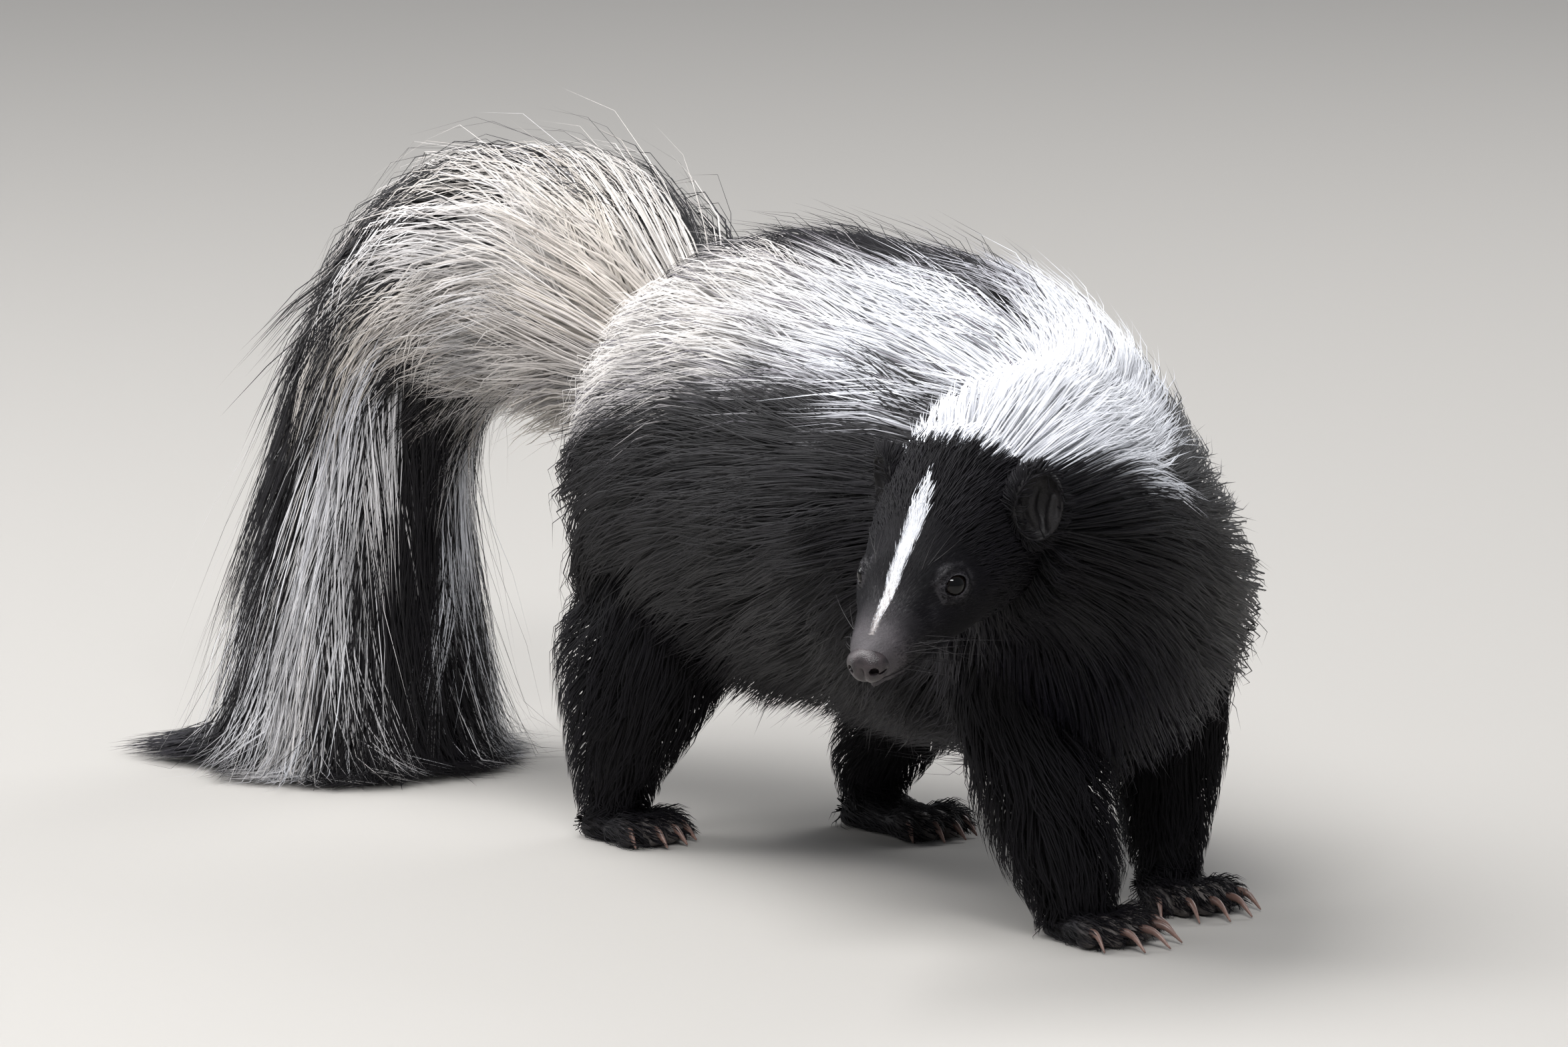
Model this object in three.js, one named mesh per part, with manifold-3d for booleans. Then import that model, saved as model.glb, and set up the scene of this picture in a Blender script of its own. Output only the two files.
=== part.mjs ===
// A striped skunk, life size, walking with its head turned back over its right shoulder and its
// plumed tail arched and hanging to the ground. Millimetres; +X is forward along the trunk,
// +Y is the animal's left, +Z is up, and the four soles stand on z = 0.
import * as THREE from "three";
import { mergeVertices } from "three/addons/utils/BufferGeometryUtils.js";
import Module from "manifold-3d";

const wasm = await Module();
wasm.setup();

// Driving dimensions
const SEAM = 0.35; // gap between touching pieces
const CORE_REACH = 0.5; // how much of the coat's depth the cores fill, from skin 0 to tips 1
const BODY_SIDES = 20;
const TAIL_SIDES = 12;
const LEG_SIDES = 9;
const HEAD_SIDES = 18;
const TRUNK_STEP = 1; // stations between two rings of a loft
const LIMB_STEP = 0.5;
const FINE = 0.04; // facets smaller than this are merged away
const FAR = 900; // size of a cutting block

// Eyes, ears, nose and mouth, in the head's own axes: forward, left and up from the nose tip
const NOSE_TIP = [151.5, -126.6, 98.7];
const HEAD_FORWARD = [0.397, -0.812, -0.429];
const HEAD_LEFT = [0.892, 0.451, -0.028];
const HEAD_UP = [0.217, -0.371, 0.902];
const EYE = { radius: 4.7, at: [-35, 13.3, 8.4], looks: [0.5, 0.8, 0.32] };
const LID = { ring: 4.1, thick: 1.0, stretch: 1.14, squeeze: 0.92, lift: 2.5 };
const EAR = { back: -67.5, left: 27.4, right: -20, rise: 17.5, wide: 9.5, tall: 13.5, deep: 6.5, wall: 1.7, scoop: 3.4 };
const NOSE = { at: [-4.4, 0, -0.6], size: [4.5, 6.4, 5.3] };
const NOSTRIL = { at: [-1.6, 4.2, 0.3], size: [2.6, 1.5, 1.1] };
const MOUTH = { corner: -27, front: -5.2, gape: 0.7, depth: 1.5, lip: 1.2 };

// The head's sections from the nose back: how far behind the tip, how high the centre lies, the
// half sizes beside, over and under it, and how much the section narrows to the crown
const HEAD_SECTIONS = [
  { back: 3.6, rise: 0.1, side: 5.2, over: 4.6, under: 5.6, pear: 0 },
  { back: 9, rise: 0.6, side: 7.6, over: 6.0, under: 8.6, pear: 0 },
  { back: 15, rise: 1.0, side: 9.8, over: 8.6, under: 11, pear: 0.03 },
  { back: 22, rise: 1.5, side: 12.6, over: 11.2, under: 13.2, pear: 0.08 },
  { back: 30, rise: 2.2, side: 16.0, over: 14.0, under: 15.4, pear: 0.12 },
  { back: 36, rise: 3.0, side: 18.4, over: 15.8, under: 17.4, pear: 0.15 },
  { back: 44, rise: 4.0, side: 20.0, over: 18.8, under: 20.4, pear: 0.18 },
  { back: 52, rise: 5.0, side: 21.8, over: 21.6, under: 23.2, pear: 0.18 },
  { back: 60, rise: 5.5, side: 23.4, over: 24.2, under: 25.6, pear: 0.16 },
  { back: 66, rise: 6.0, side: 24.6, over: 25.2, under: 26.4, pear: 0.13 },
  { back: 71, rise: 6.2, side: 25.0, over: 25.0, under: 26.2, pear: 0.1 },
];

// Rails: where a part of the body runs, station by station. at is the centre; side, over and
// under are the skin's half sizes; coat is the depth of the hair over, beside and under it;
// pear is how much the section narrows to the ridge; faces is the way forward where it isn't
// the rail's own.
const SPINE = [
  { at: [126.6, -70, 131.8], faces: HEAD_FORWARD, pear: 0, side: 20, over: 18, under: 19, coat: [9, 7, 9] },
  { at: [121, -44, 126], faces: [0.50, -0.84, -0.2], pear: 0.2, side: 27, over: 29, under: 24, coat: [20, 18, 13] },
  { at: [108, -20, 110], faces: [0.69, -0.72, 0], pear: 0.4, side: 30, over: 40, under: 33, coat: [22, 16, 17] },
  { at: [86, -2, 104], faces: [0.88, -0.47, 0.05], pear: 0.44, side: 35, over: 50, under: 34, coat: [26, 18, 28] },
  { at: [46, 0, 111], faces: [0.98, -0.17, 0], pear: 0.25, side: 41, over: 46, under: 38, coat: [30, 21, 21] },
  { at: [0, 0, 118], pear: 0.1, side: 45, over: 39, under: 42, coat: [31, 23, 21] },
  { at: [-44, 0, 119], pear: 0.05, side: 44, over: 36, under: 43, coat: [32, 24, 23] },
  { at: [-80, -1, 114], pear: 0.05, side: 39, over: 33, under: 40, coat: [32, 25, 22] },
  { at: [-108, -3, 110], pear: 0, side: 25, over: 26, under: 28, coat: [27, 25, 21] },
  { at: [-121, -4, 108], pear: 0, side: 8, over: 10, under: 10, coat: [22, 22, 20] },
  { at: [-129, -4, 107], pear: 0, side: 2, over: 2, under: 2, coat: [10, 10, 10] },
];
const TAIL = [
  { at: [-95, -3, 132], pear: 0, side: 12, over: 11, under: 11, coat: [18, 22, 16] },
  { at: [-135, -8, 154], pear: 0, side: 10, over: 9, under: 9, coat: [28, 28, 26] },
  { at: [-172, -18, 165], pear: 0, side: 9, over: 8, under: 8, coat: [34, 31, 34] },
  { at: [-206, -27, 155], pear: 0, side: 8, over: 7, under: 7, coat: [35, 28, 30] },
  { at: [-228, -33, 129], pear: 0, side: 7, over: 6, under: 6, coat: [25, 24, 25] },
  { at: [-236, -37, 94], pear: 0, side: 6, over: 5, under: 5, coat: [22, 24, 25] },
  { at: [-240, -39, 50], pear: 0, side: 5, over: 4, under: 4, coat: [28, 34, 30] },
  { at: [-242, -40, 4], pear: 0, side: 4, over: 4, under: 4, coat: [36, 44, 36] },
];
const LEGS = {
  fore_right: [
    { at: [92, -28, 104], side: 14, over: 18, under: 15, coat: [7, 6, 7] },
    { at: [88, -29, 74], side: 12, over: 14, under: 12, coat: [9, 8, 9] },
    { at: [97, -22, 44], side: 9, over: 9, under: 9, coat: [13, 11, 12] },
    { at: [102, -17, 22], side: 8, over: 8, under: 8, coat: [11, 9, 10] },
    { at: [103, -15, 9], side: 7, over: 7, under: 7, coat: [5, 5, 5] },
  ],
  fore_left: [
    { at: [88, 30, 104], side: 15, over: 18, under: 16, coat: [8, 12, 12] },
    { at: [84, 35, 76], side: 12, over: 13, under: 12, coat: [9, 13, 13] },
    { at: [79, 36, 46], side: 8, over: 9, under: 8, coat: [8, 10, 9] },
    { at: [79, 36, 22], side: 8, over: 8, under: 8, coat: [5, 5, 5] },
    { at: [80, 36, 9], side: 7, over: 7, under: 7, coat: [3, 3, 3] },
  ],
  hind_right: [
    { at: [-80, -28, 100], side: 18, over: 24, under: 22, coat: [8, 8, 8] },
    { at: [-77, -38, 64], side: 15, over: 23, under: 17, coat: [14, 10, 11] },
    { at: [-91, -42, 36], side: 10, over: 12, under: 11, coat: [9, 7, 9] },
    { at: [-98, -42, 19], side: 8, over: 9, under: 9, coat: [5, 5, 6] },
    { at: [-98, -42, 9], side: 7, over: 7, under: 7, coat: [4, 4, 4] },
  ],
  hind_left: [
    { at: [-70, 28, 100], side: 18, over: 24, under: 22, coat: [8, 8, 8] },
    { at: [-46, 36, 64], side: 14, over: 18, under: 15, coat: [10, 9, 10] },
    { at: [-54, 33, 36], side: 10, over: 11, under: 10, coat: [8, 7, 8] },
    { at: [-66, 32, 19], side: 8, over: 8, under: 8, coat: [5, 5, 5] },
    { at: [-66, 32, 9], side: 7, over: 7, under: 7, coat: [3, 3, 3] },
  ],
};

// Feet: the middle of the wrist or heel on the ground, the way the toes point, and the sizes
const FORE = { back: 9, palm: 14, wide: 12, tall: 12, toe: 10, toeWide: 3.3, claw: 13, clawRise: 5 };
const HIND = { back: 10, palm: 24, wide: 11, tall: 12, toe: 9, toeWide: 3.1, claw: 7, clawRise: 4 };
const FEET = {
  fore_right: { at: [103, -15], turn: 18, kind: FORE },
  fore_left: { at: [80, 36], turn: -4, kind: FORE },
  hind_right: { at: [-98, -42], turn: 20, kind: { ...HIND, palm: 14 } },
  hind_left: { at: [-66, 32], turn: 14, kind: HIND },
};
const TOE_SPREAD = [-30, -14, 0, 14, 30]; // degrees off the foot's heading
const TOE_LENGTH = [0.72, 0.95, 1, 0.96, 0.8];

const TRUNK_START = 2.35; // stations along the spine where the neck meets the trunk
const TRUNK_END = 10;
const FALL_START = 3.2; // station of the tail where the arch turns into the hanging plume

// White markings on the spine, as stations and degrees down from the ridge
const STRIPE = { from: 2.3, to: 8, thick: 8, upper: [1.5, 5, 13, 14, 12, 12], lower: [58, 64, 70, 70, 68, 60] };
const NAPE = { from: 0, to: 2.37, thick: 7, lower: [50, 60, 64, 60] };
const PROUD = 0.8; // the white hair stands this far out of the black

// Locks of the coat: length, half width and half thickness at the widest, how far apart their
// rows and columns stand, how deep the roots sink and how far they sweep down off the rail
const BODY_LOCK = { long: 74, wide: 14, thick: 4, row: 40, column: 33, sink: 3.2, sweep: 16, bends: 3 };
const TAIL_LOCK = { long: 106, wide: 12, thick: 4, row: 50, column: 29, sink: 3.5, sweep: 0, bends: 4 };
const LEG_LOCK = { long: 38, wide: 10.5, thick: 3, row: 36, column: 32, sink: 2.4, sweep: 0, bends: 2 };
const LOCK_SHAPE = [0.55, 1, 0.82, 0.54, 0.3]; // its width from the root to the tip
const UNEVEN = { place: 0.12, length: 0.12, turn: 6, reach: 0.03 };
const LYING = 1.6; // height above the ground of a lock that lies on it
// Hair of the tail's tip that lies out on the ground
const TIP_STRANDS = [
  { from: [-240, -58, 20], to: [-292, -88, 2.6] },
  { from: [-244, -50, 18], to: [-304, -76, 2.6] },
  { from: [-246, -40, 16], to: [-296, -60, 2.6] },
];
const BLAZE = { wide: [1.2, 2.6, 2.4, 1.6], proud: 0.5, thick: 0.8, sections: [1, 8] }; // of the head

const hair = (color) => new THREE.MeshStandardMaterial({ color, roughness: 0.85, metalness: 0 });
const BLACK_COAT = hair("#17151a");
const WHITE_COAT = hair("#e9e8ec");
const TAIL_COAT = hair("#8f8a86");
const FOOT_SKIN = new THREE.MeshStandardMaterial({ color: "#3a2f2e", roughness: 0.6, metalness: 0 });
const NOSE_SKIN = new THREE.MeshStandardMaterial({ color: "#4a3a38", roughness: 0.4, metalness: 0 });
const EYE_GLOSS = new THREE.MeshStandardMaterial({ color: "#0b0807", roughness: 0.05, metalness: 0 });

const vec = (list) => new THREE.Vector3(...list);
const radians = THREE.MathUtils.degToRad;
const UP = vec([0, 0, 1]);
const LEFT = vec([0, 1, 0]);

// Solids
function toSolid(geometry) {
  const bare = new THREE.BufferGeometry();
  bare.setAttribute("position", geometry.getAttribute("position").clone());
  if (geometry.index) bare.setIndex(geometry.index.clone());
  const merged = mergeVertices(bare, 1e-4);
  return new wasm.Manifold(new wasm.Mesh({
    numProp: 3,
    vertProperties: new Float32Array(merged.getAttribute("position").array),
    triVerts: new Uint32Array(merged.index.array),
  }));
}

function toGeometry(solid) {
  const mesh = solid.getMesh();
  const geometry = new THREE.BufferGeometry();
  geometry.setAttribute("position", new THREE.BufferAttribute(new Float32Array(mesh.vertProperties), 3));
  geometry.setIndex(new THREE.BufferAttribute(new Uint32Array(mesh.triVerts), 1));
  return geometry;
}

const joined = (solids) => wasm.Manifold.union(solids);

// The same uneven draws every time
let seed = 29;
function draw() {
  seed = (seed * 1103515245 + 12345) % 2147483648;
  return (2 * seed) / 2147483648 - 1;
}

// The largest closed surface; slivers that hang on by a corner are dropped as well
function largestBody(solid) {
  const largest = (bodies) => bodies.reduce((best, body) => (body.volume() > best.volume() ? body : best));
  const body = largest(solid.asOriginal().simplify(FINE).decompose());
  return largest(toSolid(toGeometry(body)).decompose());
}

// A closed skin over rings of points, each end filled to its middle
function loft(rings) {
  const sides = rings[0].length;
  const points = rings.flat();
  const faces = [];
  for (let i = 0; i < rings.length - 1; i++) {
    for (let j = 0; j < sides; j++) {
      const a = i * sides + j;
      const b = i * sides + ((j + 1) % sides);
      faces.push(a, b, a + sides, b, b + sides, a + sides);
    }
  }
  for (const end of [0, rings.length - 1]) {
    const middle = new THREE.Vector3();
    rings[end].forEach((point) => middle.addScaledVector(point, 1 / sides));
    points.push(middle);
    for (let j = 0; j < sides; j++) {
      const a = end * sides + j;
      const b = end * sides + ((j + 1) % sides);
      if (end === 0) faces.push(b, a, points.length - 1);
      else faces.push(a, b, points.length - 1);
    }
  }
  return toSolid(outward(points, faces));
}

// Turns the faces over where the rings ran the other way round
function outward(points, faces) {
  let volume = 0;
  for (let i = 0; i < faces.length; i += 3) {
    const [a, b, c] = [points[faces[i]], points[faces[i + 1]], points[faces[i + 2]]];
    volume += a.dot(new THREE.Vector3().crossVectors(b, c));
  }
  const geometry = new THREE.BufferGeometry();
  geometry.setFromPoints(points);
  geometry.setIndex(volume < 0 ? [...faces].reverse() : faces);
  return geometry;
}

function ellipsoid(at, axes, half, sides = 14) {
  const geometry = new THREE.SphereGeometry(1, sides, Math.round(sides * 0.7));
  const place = new THREE.Matrix4().makeBasis(...axes.map((axis, i) => axis.clone().multiplyScalar(half[i])));
  geometry.applyMatrix4(place.setPosition(at));
  return toSolid(geometry);
}

// A tapering rod through a few points; flat presses its section across and thick along lift
function rod(points, radii, sides, flat = 1, lift = UP) {
  const curve = new THREE.CatmullRomCurve3(points);
  const rings = radii.map((radius, i) => {
    const t = i / (radii.length - 1);
    const along = curve.getTangent(t);
    const across = new THREE.Vector3().crossVectors(lift, along).normalize();
    const over = new THREE.Vector3().crossVectors(along, across);
    const middle = curve.getPoint(t);
    return Array.from({ length: sides }, (_, j) => {
      const turn = (2 * Math.PI * j) / sides;
      return middle.clone()
        .addScaledVector(across, radius * Math.cos(turn))
        .addScaledVector(over, radius * flat * Math.sin(turn));
    });
  });
  return loft(rings);
}

// Rails
const spline = (list, s) => {
  const i = THREE.MathUtils.clamp(Math.floor(s), 0, list.length - 2);
  const pick = (k) => list[THREE.MathUtils.clamp(k, 0, list.length - 1)];
  const [p0, p1, p2, p3] = [pick(i - 1), pick(i), pick(i + 1), pick(i + 2)];
  const t = s - i;
  return 0.5 * (2 * p1 + (p2 - p0) * t + (2 * p0 - 5 * p1 + 4 * p2 - p3) * t * t
    + (3 * p1 - p0 - 3 * p2 + p3) * t * t * t);
};

function makeRail(stations, lateral) {
  const last = stations.length - 1;
  const path = [0, 1, 2].map((axis) => stations.map((station) => station.at[axis]));
  const ways = stations.map((station, i) => {
    const [before, after] = [stations[Math.max(0, i - 1)], stations[Math.min(last, i + 1)]];
    return (station.faces ? vec(station.faces) : vec(before.at).sub(vec(after.at))).normalize();
  });
  const read = (name) => stations.map((station) => station[name]);
  const coats = [0, 1, 2].map((k) => stations.map((station) => station.coat[k]));
  const centre = (s) => {
    const inside = THREE.MathUtils.clamp(s, 0, last);
    return vec(path.map((list) => spline(list, inside)));
  };
  const pitch = (s) => centre(Math.min(s, last - 0.01) + 0.01).distanceTo(centre(Math.min(s, last - 0.01))) / 0.01;
  const along = (s) => {
    const inside = THREE.MathUtils.clamp(s, 0, last);
    return vec(["x", "y", "z"].map((axis) => -spline(ways.map((way) => way[axis]), inside))).normalize();
  };
  // the half sizes beside, over and under at a share of the coat's depth
  const half = (s, reach) => {
    const inside = THREE.MathUtils.clamp(s, 0, last);
    return ["side", "over", "under"].map((name, k) => {
      const coat = coats[[1, 0, 2][k]];
      return spline(read(name), inside) + reach * spline(coat, inside);
    });
  };
  const axes = (s) => {
    const forward = along(s).negate();
    const left = lateral(forward);
    return { forward, left, over: new THREE.Vector3().crossVectors(forward, left) };
  };
  // a point of the coat: station, angle down from the ridge towards the left, share of depth,
  // and millimetres added outside it
  const point = (s, angle, reach, more = 0) => {
    const { left, over } = axes(s);
    const [side, above, below] = half(s, reach);
    const high = Math.cos(angle);
    const narrow = 1 - Math.max(0, high) * spline(read("pear"), THREE.MathUtils.clamp(s, 0, last));
    const beyond = Math.max(0, s - last) * pitch(last);
    return centre(s)
      .addScaledVector(along(s), beyond)
      .addScaledVector(left, (side * narrow + more) * Math.sin(angle))
      .addScaledVector(over, ((high > 0 ? above : below) + more) * high);
  };
  return { centre, pitch, along, axes, half, point, last };
}

const uprightLateral = (forward) => new THREE.Vector3().crossVectors(UP, forward).normalize();
const levelLateral = (forward) => LEFT.clone().addScaledVector(forward, -LEFT.dot(forward)).normalize();
const spine = makeRail(SPINE, uprightLateral);
const tail = makeRail(TAIL, levelLateral);
const legs = Object.fromEntries(Object.entries(LEGS).map(([name, list]) => {
  const stations = list.map((station) => ({ pear: 0, ...station }));
  return [name, makeRail(stations, levelLateral)];
}));

const steps = (from, to, step) => {
  const count = Math.max(1, Math.round((to - from) / step));
  return Array.from({ length: count + 1 }, (_, i) => from + ((to - from) * i) / count);
};

// A length of a rail, filled to a share of its coat
function railBody(rail, from, to, step, sides, reach, grow) {
  const ends = [from, to];
  const rings = steps(from, to, step).map((s) => Array.from({ length: sides }, (_, j) => {
    const point = rail.point(s, (2 * Math.PI * j) / sides, reach, grow);
    const end = ends.indexOf(s);
    return end < 0 ? point : point.addScaledVector(rail.along(s), grow * (2 * end - 1));
  }));
  return loft(rings);
}

// A white band let into the coat: a curved plate between two angles of a rail
function railBand(rail, band, sign, sides, reach, grow) {
  const wide = (list, s) => spline(list, ((s - band.from) / (band.to - band.from)) * (list.length - 1));
  const spread = Math.max(...band.lower) * (band.upper ? 1 : 2);
  const slices = Math.ceil((spread * sides) / 360);
  const rings = steps(band.from, band.to, LIMB_STEP).map((s, i, all) => {
    const upper = band.upper ? wide(band.upper, s) : -wide(band.lower, s);
    const lower = wide(band.lower, s);
    const margin = THREE.MathUtils.radToDeg(grow / rail.half(s, reach)[0]);
    const angles = Array.from({ length: slices + 1 }, (_, j) =>
      radians(sign * (upper - margin + ((lower - upper + 2 * margin) * j) / slices)));
    const slide = (i === all.length - 1 ? grow : 0) - (i === 0 ? grow : 0);
    const shift = rail.along(s).multiplyScalar(slide);
    const outer = angles.map((angle) => rail.point(s, angle, reach, PROUD + grow).add(shift));
    const inner = angles.map((angle) => rail.point(s, angle, reach, -band.thick - grow).add(shift));
    return [...outer, ...inner.reverse()];
  });
  return bandLoft(rings);
}

// As loft, with its ends filled as strips, since a band's ends are curved
function bandLoft(rings) {
  const sides = rings[0].length;
  const points = rings.flat();
  const faces = [];
  for (let i = 0; i < rings.length - 1; i++) {
    for (let j = 0; j < sides; j++) {
      const a = i * sides + j;
      const b = i * sides + ((j + 1) % sides);
      faces.push(a, b, a + sides, b, b + sides, a + sides);
    }
  }
  for (const end of [0, rings.length - 1]) {
    for (let j = 0; j < sides / 2 - 1; j++) {
      const [a, b] = [end * sides + j, end * sides + j + 1];
      const [c, d] = [end * sides + sides - 1 - j, end * sides + sides - 2 - j];
      const strip = [a, c, b, b, c, d];
      faces.push(...(end === 0 ? strip : strip.reverse()));
    }
  }
  return toSolid(outward(points, faces));
}

// Where the locks of a rail grow, in rows round it, every second column half a row on
function lockPlaces(rail, from, to, kind) {
  const places = [];
  for (let s = from; s < to; s += kind.row / rail.pitch(s)) {
    const [side, over, under] = rail.half(s, 0.8);
    const columns = Math.round((Math.PI * (side + (over + under) / 2)) / kind.column / 2) * 2;
    for (let i = 0; i < columns; i++) {
      const shift = ((i % 2) * 0.5 + UNEVEN.place * draw()) * kind.row / rail.pitch(s);
      const angle = (360 * (i + UNEVEN.place * draw())) / columns - 180;
      places.push({
        rail, kind, s: s + shift, angle,
        long: kind.long * (1 + UNEVEN.length * draw()),
        turn: UNEVEN.turn * draw(),
        reach: 1 + UNEVEN.reach * draw(),
      });
    }
  }
  return places;
}

// One lock: a flat tapering blade that rises out of the core and lies back along the rail
function railLock({ rail, kind, s, angle, long, turn, reach }, grow) {
  const down = radians(turn) * Math.sign(angle)
    + radians(kind.sweep) * Math.sin(radians(Math.abs(angle))) ** 2;
  const [side, over, under] = rail.half(s, 0.8);
  const around = (side + (over + under) / 2) / 2;
  const depth = rail.half(s, 1)[0] - rail.half(s, 0)[0];
  const root = CORE_REACH - kind.sink / depth;
  const spot = (t, more = 0) => {
    const far = long * t;
    const a = radians(angle) + Math.sign(angle) * Math.sin(down) * (far / around);
    const station = s + (Math.cos(down) * far) / rail.pitch(s);
    const point = rail.point(station, a, root + (reach - root) * (1 - (1 - t) ** 2), more);
    const fall = LYING - point.z;
    if (fall < 0) return point;
    const out = point.clone().sub(rail.centre(rail.last)).setZ(0).normalize();
    return point.addScaledVector(out, fall).setZ(LYING + more);
  };
  const path = Array.from({ length: kind.bends + 1 }, (_, i) => spot(i / kind.bends));
  const outs = path.map((point, i) => spot(i / kind.bends, 1).sub(point));
  return blade(path, outs, kind, 1.3 * grow);
}

// The blade has a flat underside and a ridge along its back
function blade(path, outs, kind, grow) {
  const points = [];
  const last = path.length - 1;
  for (let i = 0; i < last; i++) {
    const way = path[i + 1].clone().sub(path[Math.max(0, i - 1)]).normalize();
    const across = new THREE.Vector3().crossVectors(outs[i], way).normalize();
    const out = new THREE.Vector3().crossVectors(way, across);
    const share = LOCK_SHAPE[Math.round((i * (LOCK_SHAPE.length - 1)) / last)];
    const [wide, thick] = [kind.wide * share, (kind.thick * Math.sqrt(share)) / 2];
    const slant = Math.hypot(wide, 2 * thick);
    const edge = wide + (grow * (slant + wide)) / (2 * thick);
    const middle = path[i].clone().addScaledVector(way, i === 0 ? -grow : 0);
    points.push(middle.clone().addScaledVector(across, edge).addScaledVector(out, -thick - grow),
      middle.clone().addScaledVector(out, thick + (grow * slant) / wide),
      middle.clone().addScaledVector(across, -edge).addScaledVector(out, -thick - grow));
  }
  const tip = path[last].clone().sub(path[last - 1]).normalize();
  points.push(path[last].clone().addScaledVector(tip, 12 * grow));
  const faces = [0, 2, 1];
  for (let i = 0; i < last; i++) {
    for (let j = 0; j < 3; j++) {
      const [a, b] = [3 * i + j, 3 * i + ((j + 1) % 3)];
      if (i < last - 1) faces.push(a, b, a + 3, b, b + 3, a + 3);
      else faces.push(a, b, 3 * last);
    }
  }
  return toSolid(outward(points, faces));
}

// A lock of the tail's tip, lying out on the ground
function groundLock({ from, to }, grow) {
  const [start, end] = [vec(from), vec(to)];
  const path = [0, 0.3, 0.65, 1].map((t) => start.clone().lerp(end, t).setZ(from[2] + (to[2] - from[2]) * Math.sqrt(t)));
  return blade(path, path.map(() => UP), { wide: 9, thick: 2.4 }, grow);
}

// Head
const headAxes = [HEAD_FORWARD, HEAD_LEFT, HEAD_UP].map((list) => vec(list).normalize());
const inHead = ([forward, left, up]) => vec(NOSE_TIP)
  .addScaledVector(headAxes[0], forward)
  .addScaledVector(headAxes[1], left)
  .addScaledVector(headAxes[2], up);
const headWay = ([forward, left, up]) => inHead([forward, left, up]).sub(vec(NOSE_TIP)).normalize();

function headSection(back) {
  const places = HEAD_SECTIONS.map((section) => section.back);
  let i = places.findIndex((place) => place > back) - 1;
  if (i < 0) i = back < places[0] ? 0 : places.length - 2;
  const s = i + (back - places[i]) / (places[i + 1] - places[i]);
  const read = (name) => spline(HEAD_SECTIONS.map((section) => section[name]), s);
  return Object.fromEntries(["rise", "side", "over", "under", "pear"].map((name) => [name, read(name)]));
}

function headPoint(back, angle, grow = 0) {
  const { rise, side, over, under, pear } = headSection(back);
  const high = Math.cos(angle);
  const narrow = 1 - Math.max(0, high) * pear;
  const up = rise + ((high > 0 ? over : under) + grow) * high;
  return inHead([-back, (side * narrow + grow) * Math.sin(angle), up]);
}

// how far to the side the face reaches at a height
function faceWidth(back, height) {
  const { rise, side, over, under } = headSection(back);
  const share = (height - rise) / (height > rise ? over : under);
  return side * Math.sqrt(Math.max(0, 1 - share * share));
}

function headSkin(grow) {
  const rings = HEAD_SECTIONS.map(({ back }, i) => Array.from({ length: HEAD_SIDES }, (_, j) => {
    const slide = i === 0 ? grow : i === HEAD_SECTIONS.length - 1 ? -grow : 0;
    return headPoint(back, (2 * Math.PI * j) / HEAD_SIDES, grow).addScaledVector(headAxes[0], slide);
  }));
  return loft(rings);
}

// The line where the lips meet, from the left corner round the front to the right corner
const mouthLine = (() => {
  const half = [1, 0.82, 0.62, 0.42, 0.24, 0.1].map((t) => {
    const back = -MOUTH.front + (-MOUTH.corner + MOUTH.front) * t;
    const height = -6.9 + 2.6 * t ** 3;
    return [-back, faceWidth(back, height), height];
  });
  const front = [MOUTH.front + 0.4, 0, -7.0];
  return [...half, front, ...half.map(([forward, left, up]) => [forward, -left, up]).reverse()];
})();

function mouthGroove() {
  const line = new THREE.CatmullRomCurve3(mouthLine.map(vec));
  const count = 8;
  const rings = Array.from({ length: count + 1 }, (_, i) => {
    const middle = line.getPoint(i / count);
    const way = line.getTangent(i / count);
    const out = new THREE.Vector3(way.y, -way.x, 0).normalize();
    if (out.x < 0 && Math.abs(middle.y) < 3) out.negate();
    if (out.y * middle.y < 0) out.negate();
    const corner = (reach, high) => {
      const place = middle.clone().addScaledVector(out, reach);
      return inHead([place.x, place.y, place.z + high]);
    };
    const wide = MOUTH.gape / 2;
    return [corner(-MOUTH.depth, -0.15), corner(2, -wide), corner(2, wide), corner(-MOUTH.depth, 0.15)];
  });
  return loft(rings);
}

function lip(lift, thick) {
  const inset = 0.55 * thick;
  const points = mouthLine.map(([forward, left, up]) =>
    inHead([forward - 0.3, left - Math.sign(left) * inset, up + lift]));
  const radii = [0.35, ...Array(5).fill(1), 0.35].map((share) => thick * share);
  return rod(points, radii, 4, 1, headAxes[2]);
}

const mirrored = ([forward, left, up], sign) => [forward, left * sign, up];

function eye(sign, grow) {
  const geometry = new THREE.SphereGeometry(EYE.radius + grow, 10, 8);
  geometry.translate(...inHead(mirrored(EYE.at, sign)));
  return toSolid(geometry);
}

function eyelid(sign) {
  const geometry = new THREE.TorusGeometry(LID.ring, LID.thick, 4, 10);
  const out = headWay(mirrored(EYE.looks, sign));
  const back = headWay([-1, 0, 0]);
  const across = back.addScaledVector(out, -back.dot(out)).normalize();
  const over = new THREE.Vector3().crossVectors(out, across);
  geometry.scale(LID.stretch, LID.squeeze, 1);
  const place = new THREE.Matrix4().makeBasis(across, over, out);
  place.setPosition(inHead(mirrored(EYE.at, sign)).addScaledVector(out, LID.lift));
  geometry.applyMatrix4(place);
  return toSolid(geometry);
}

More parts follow.
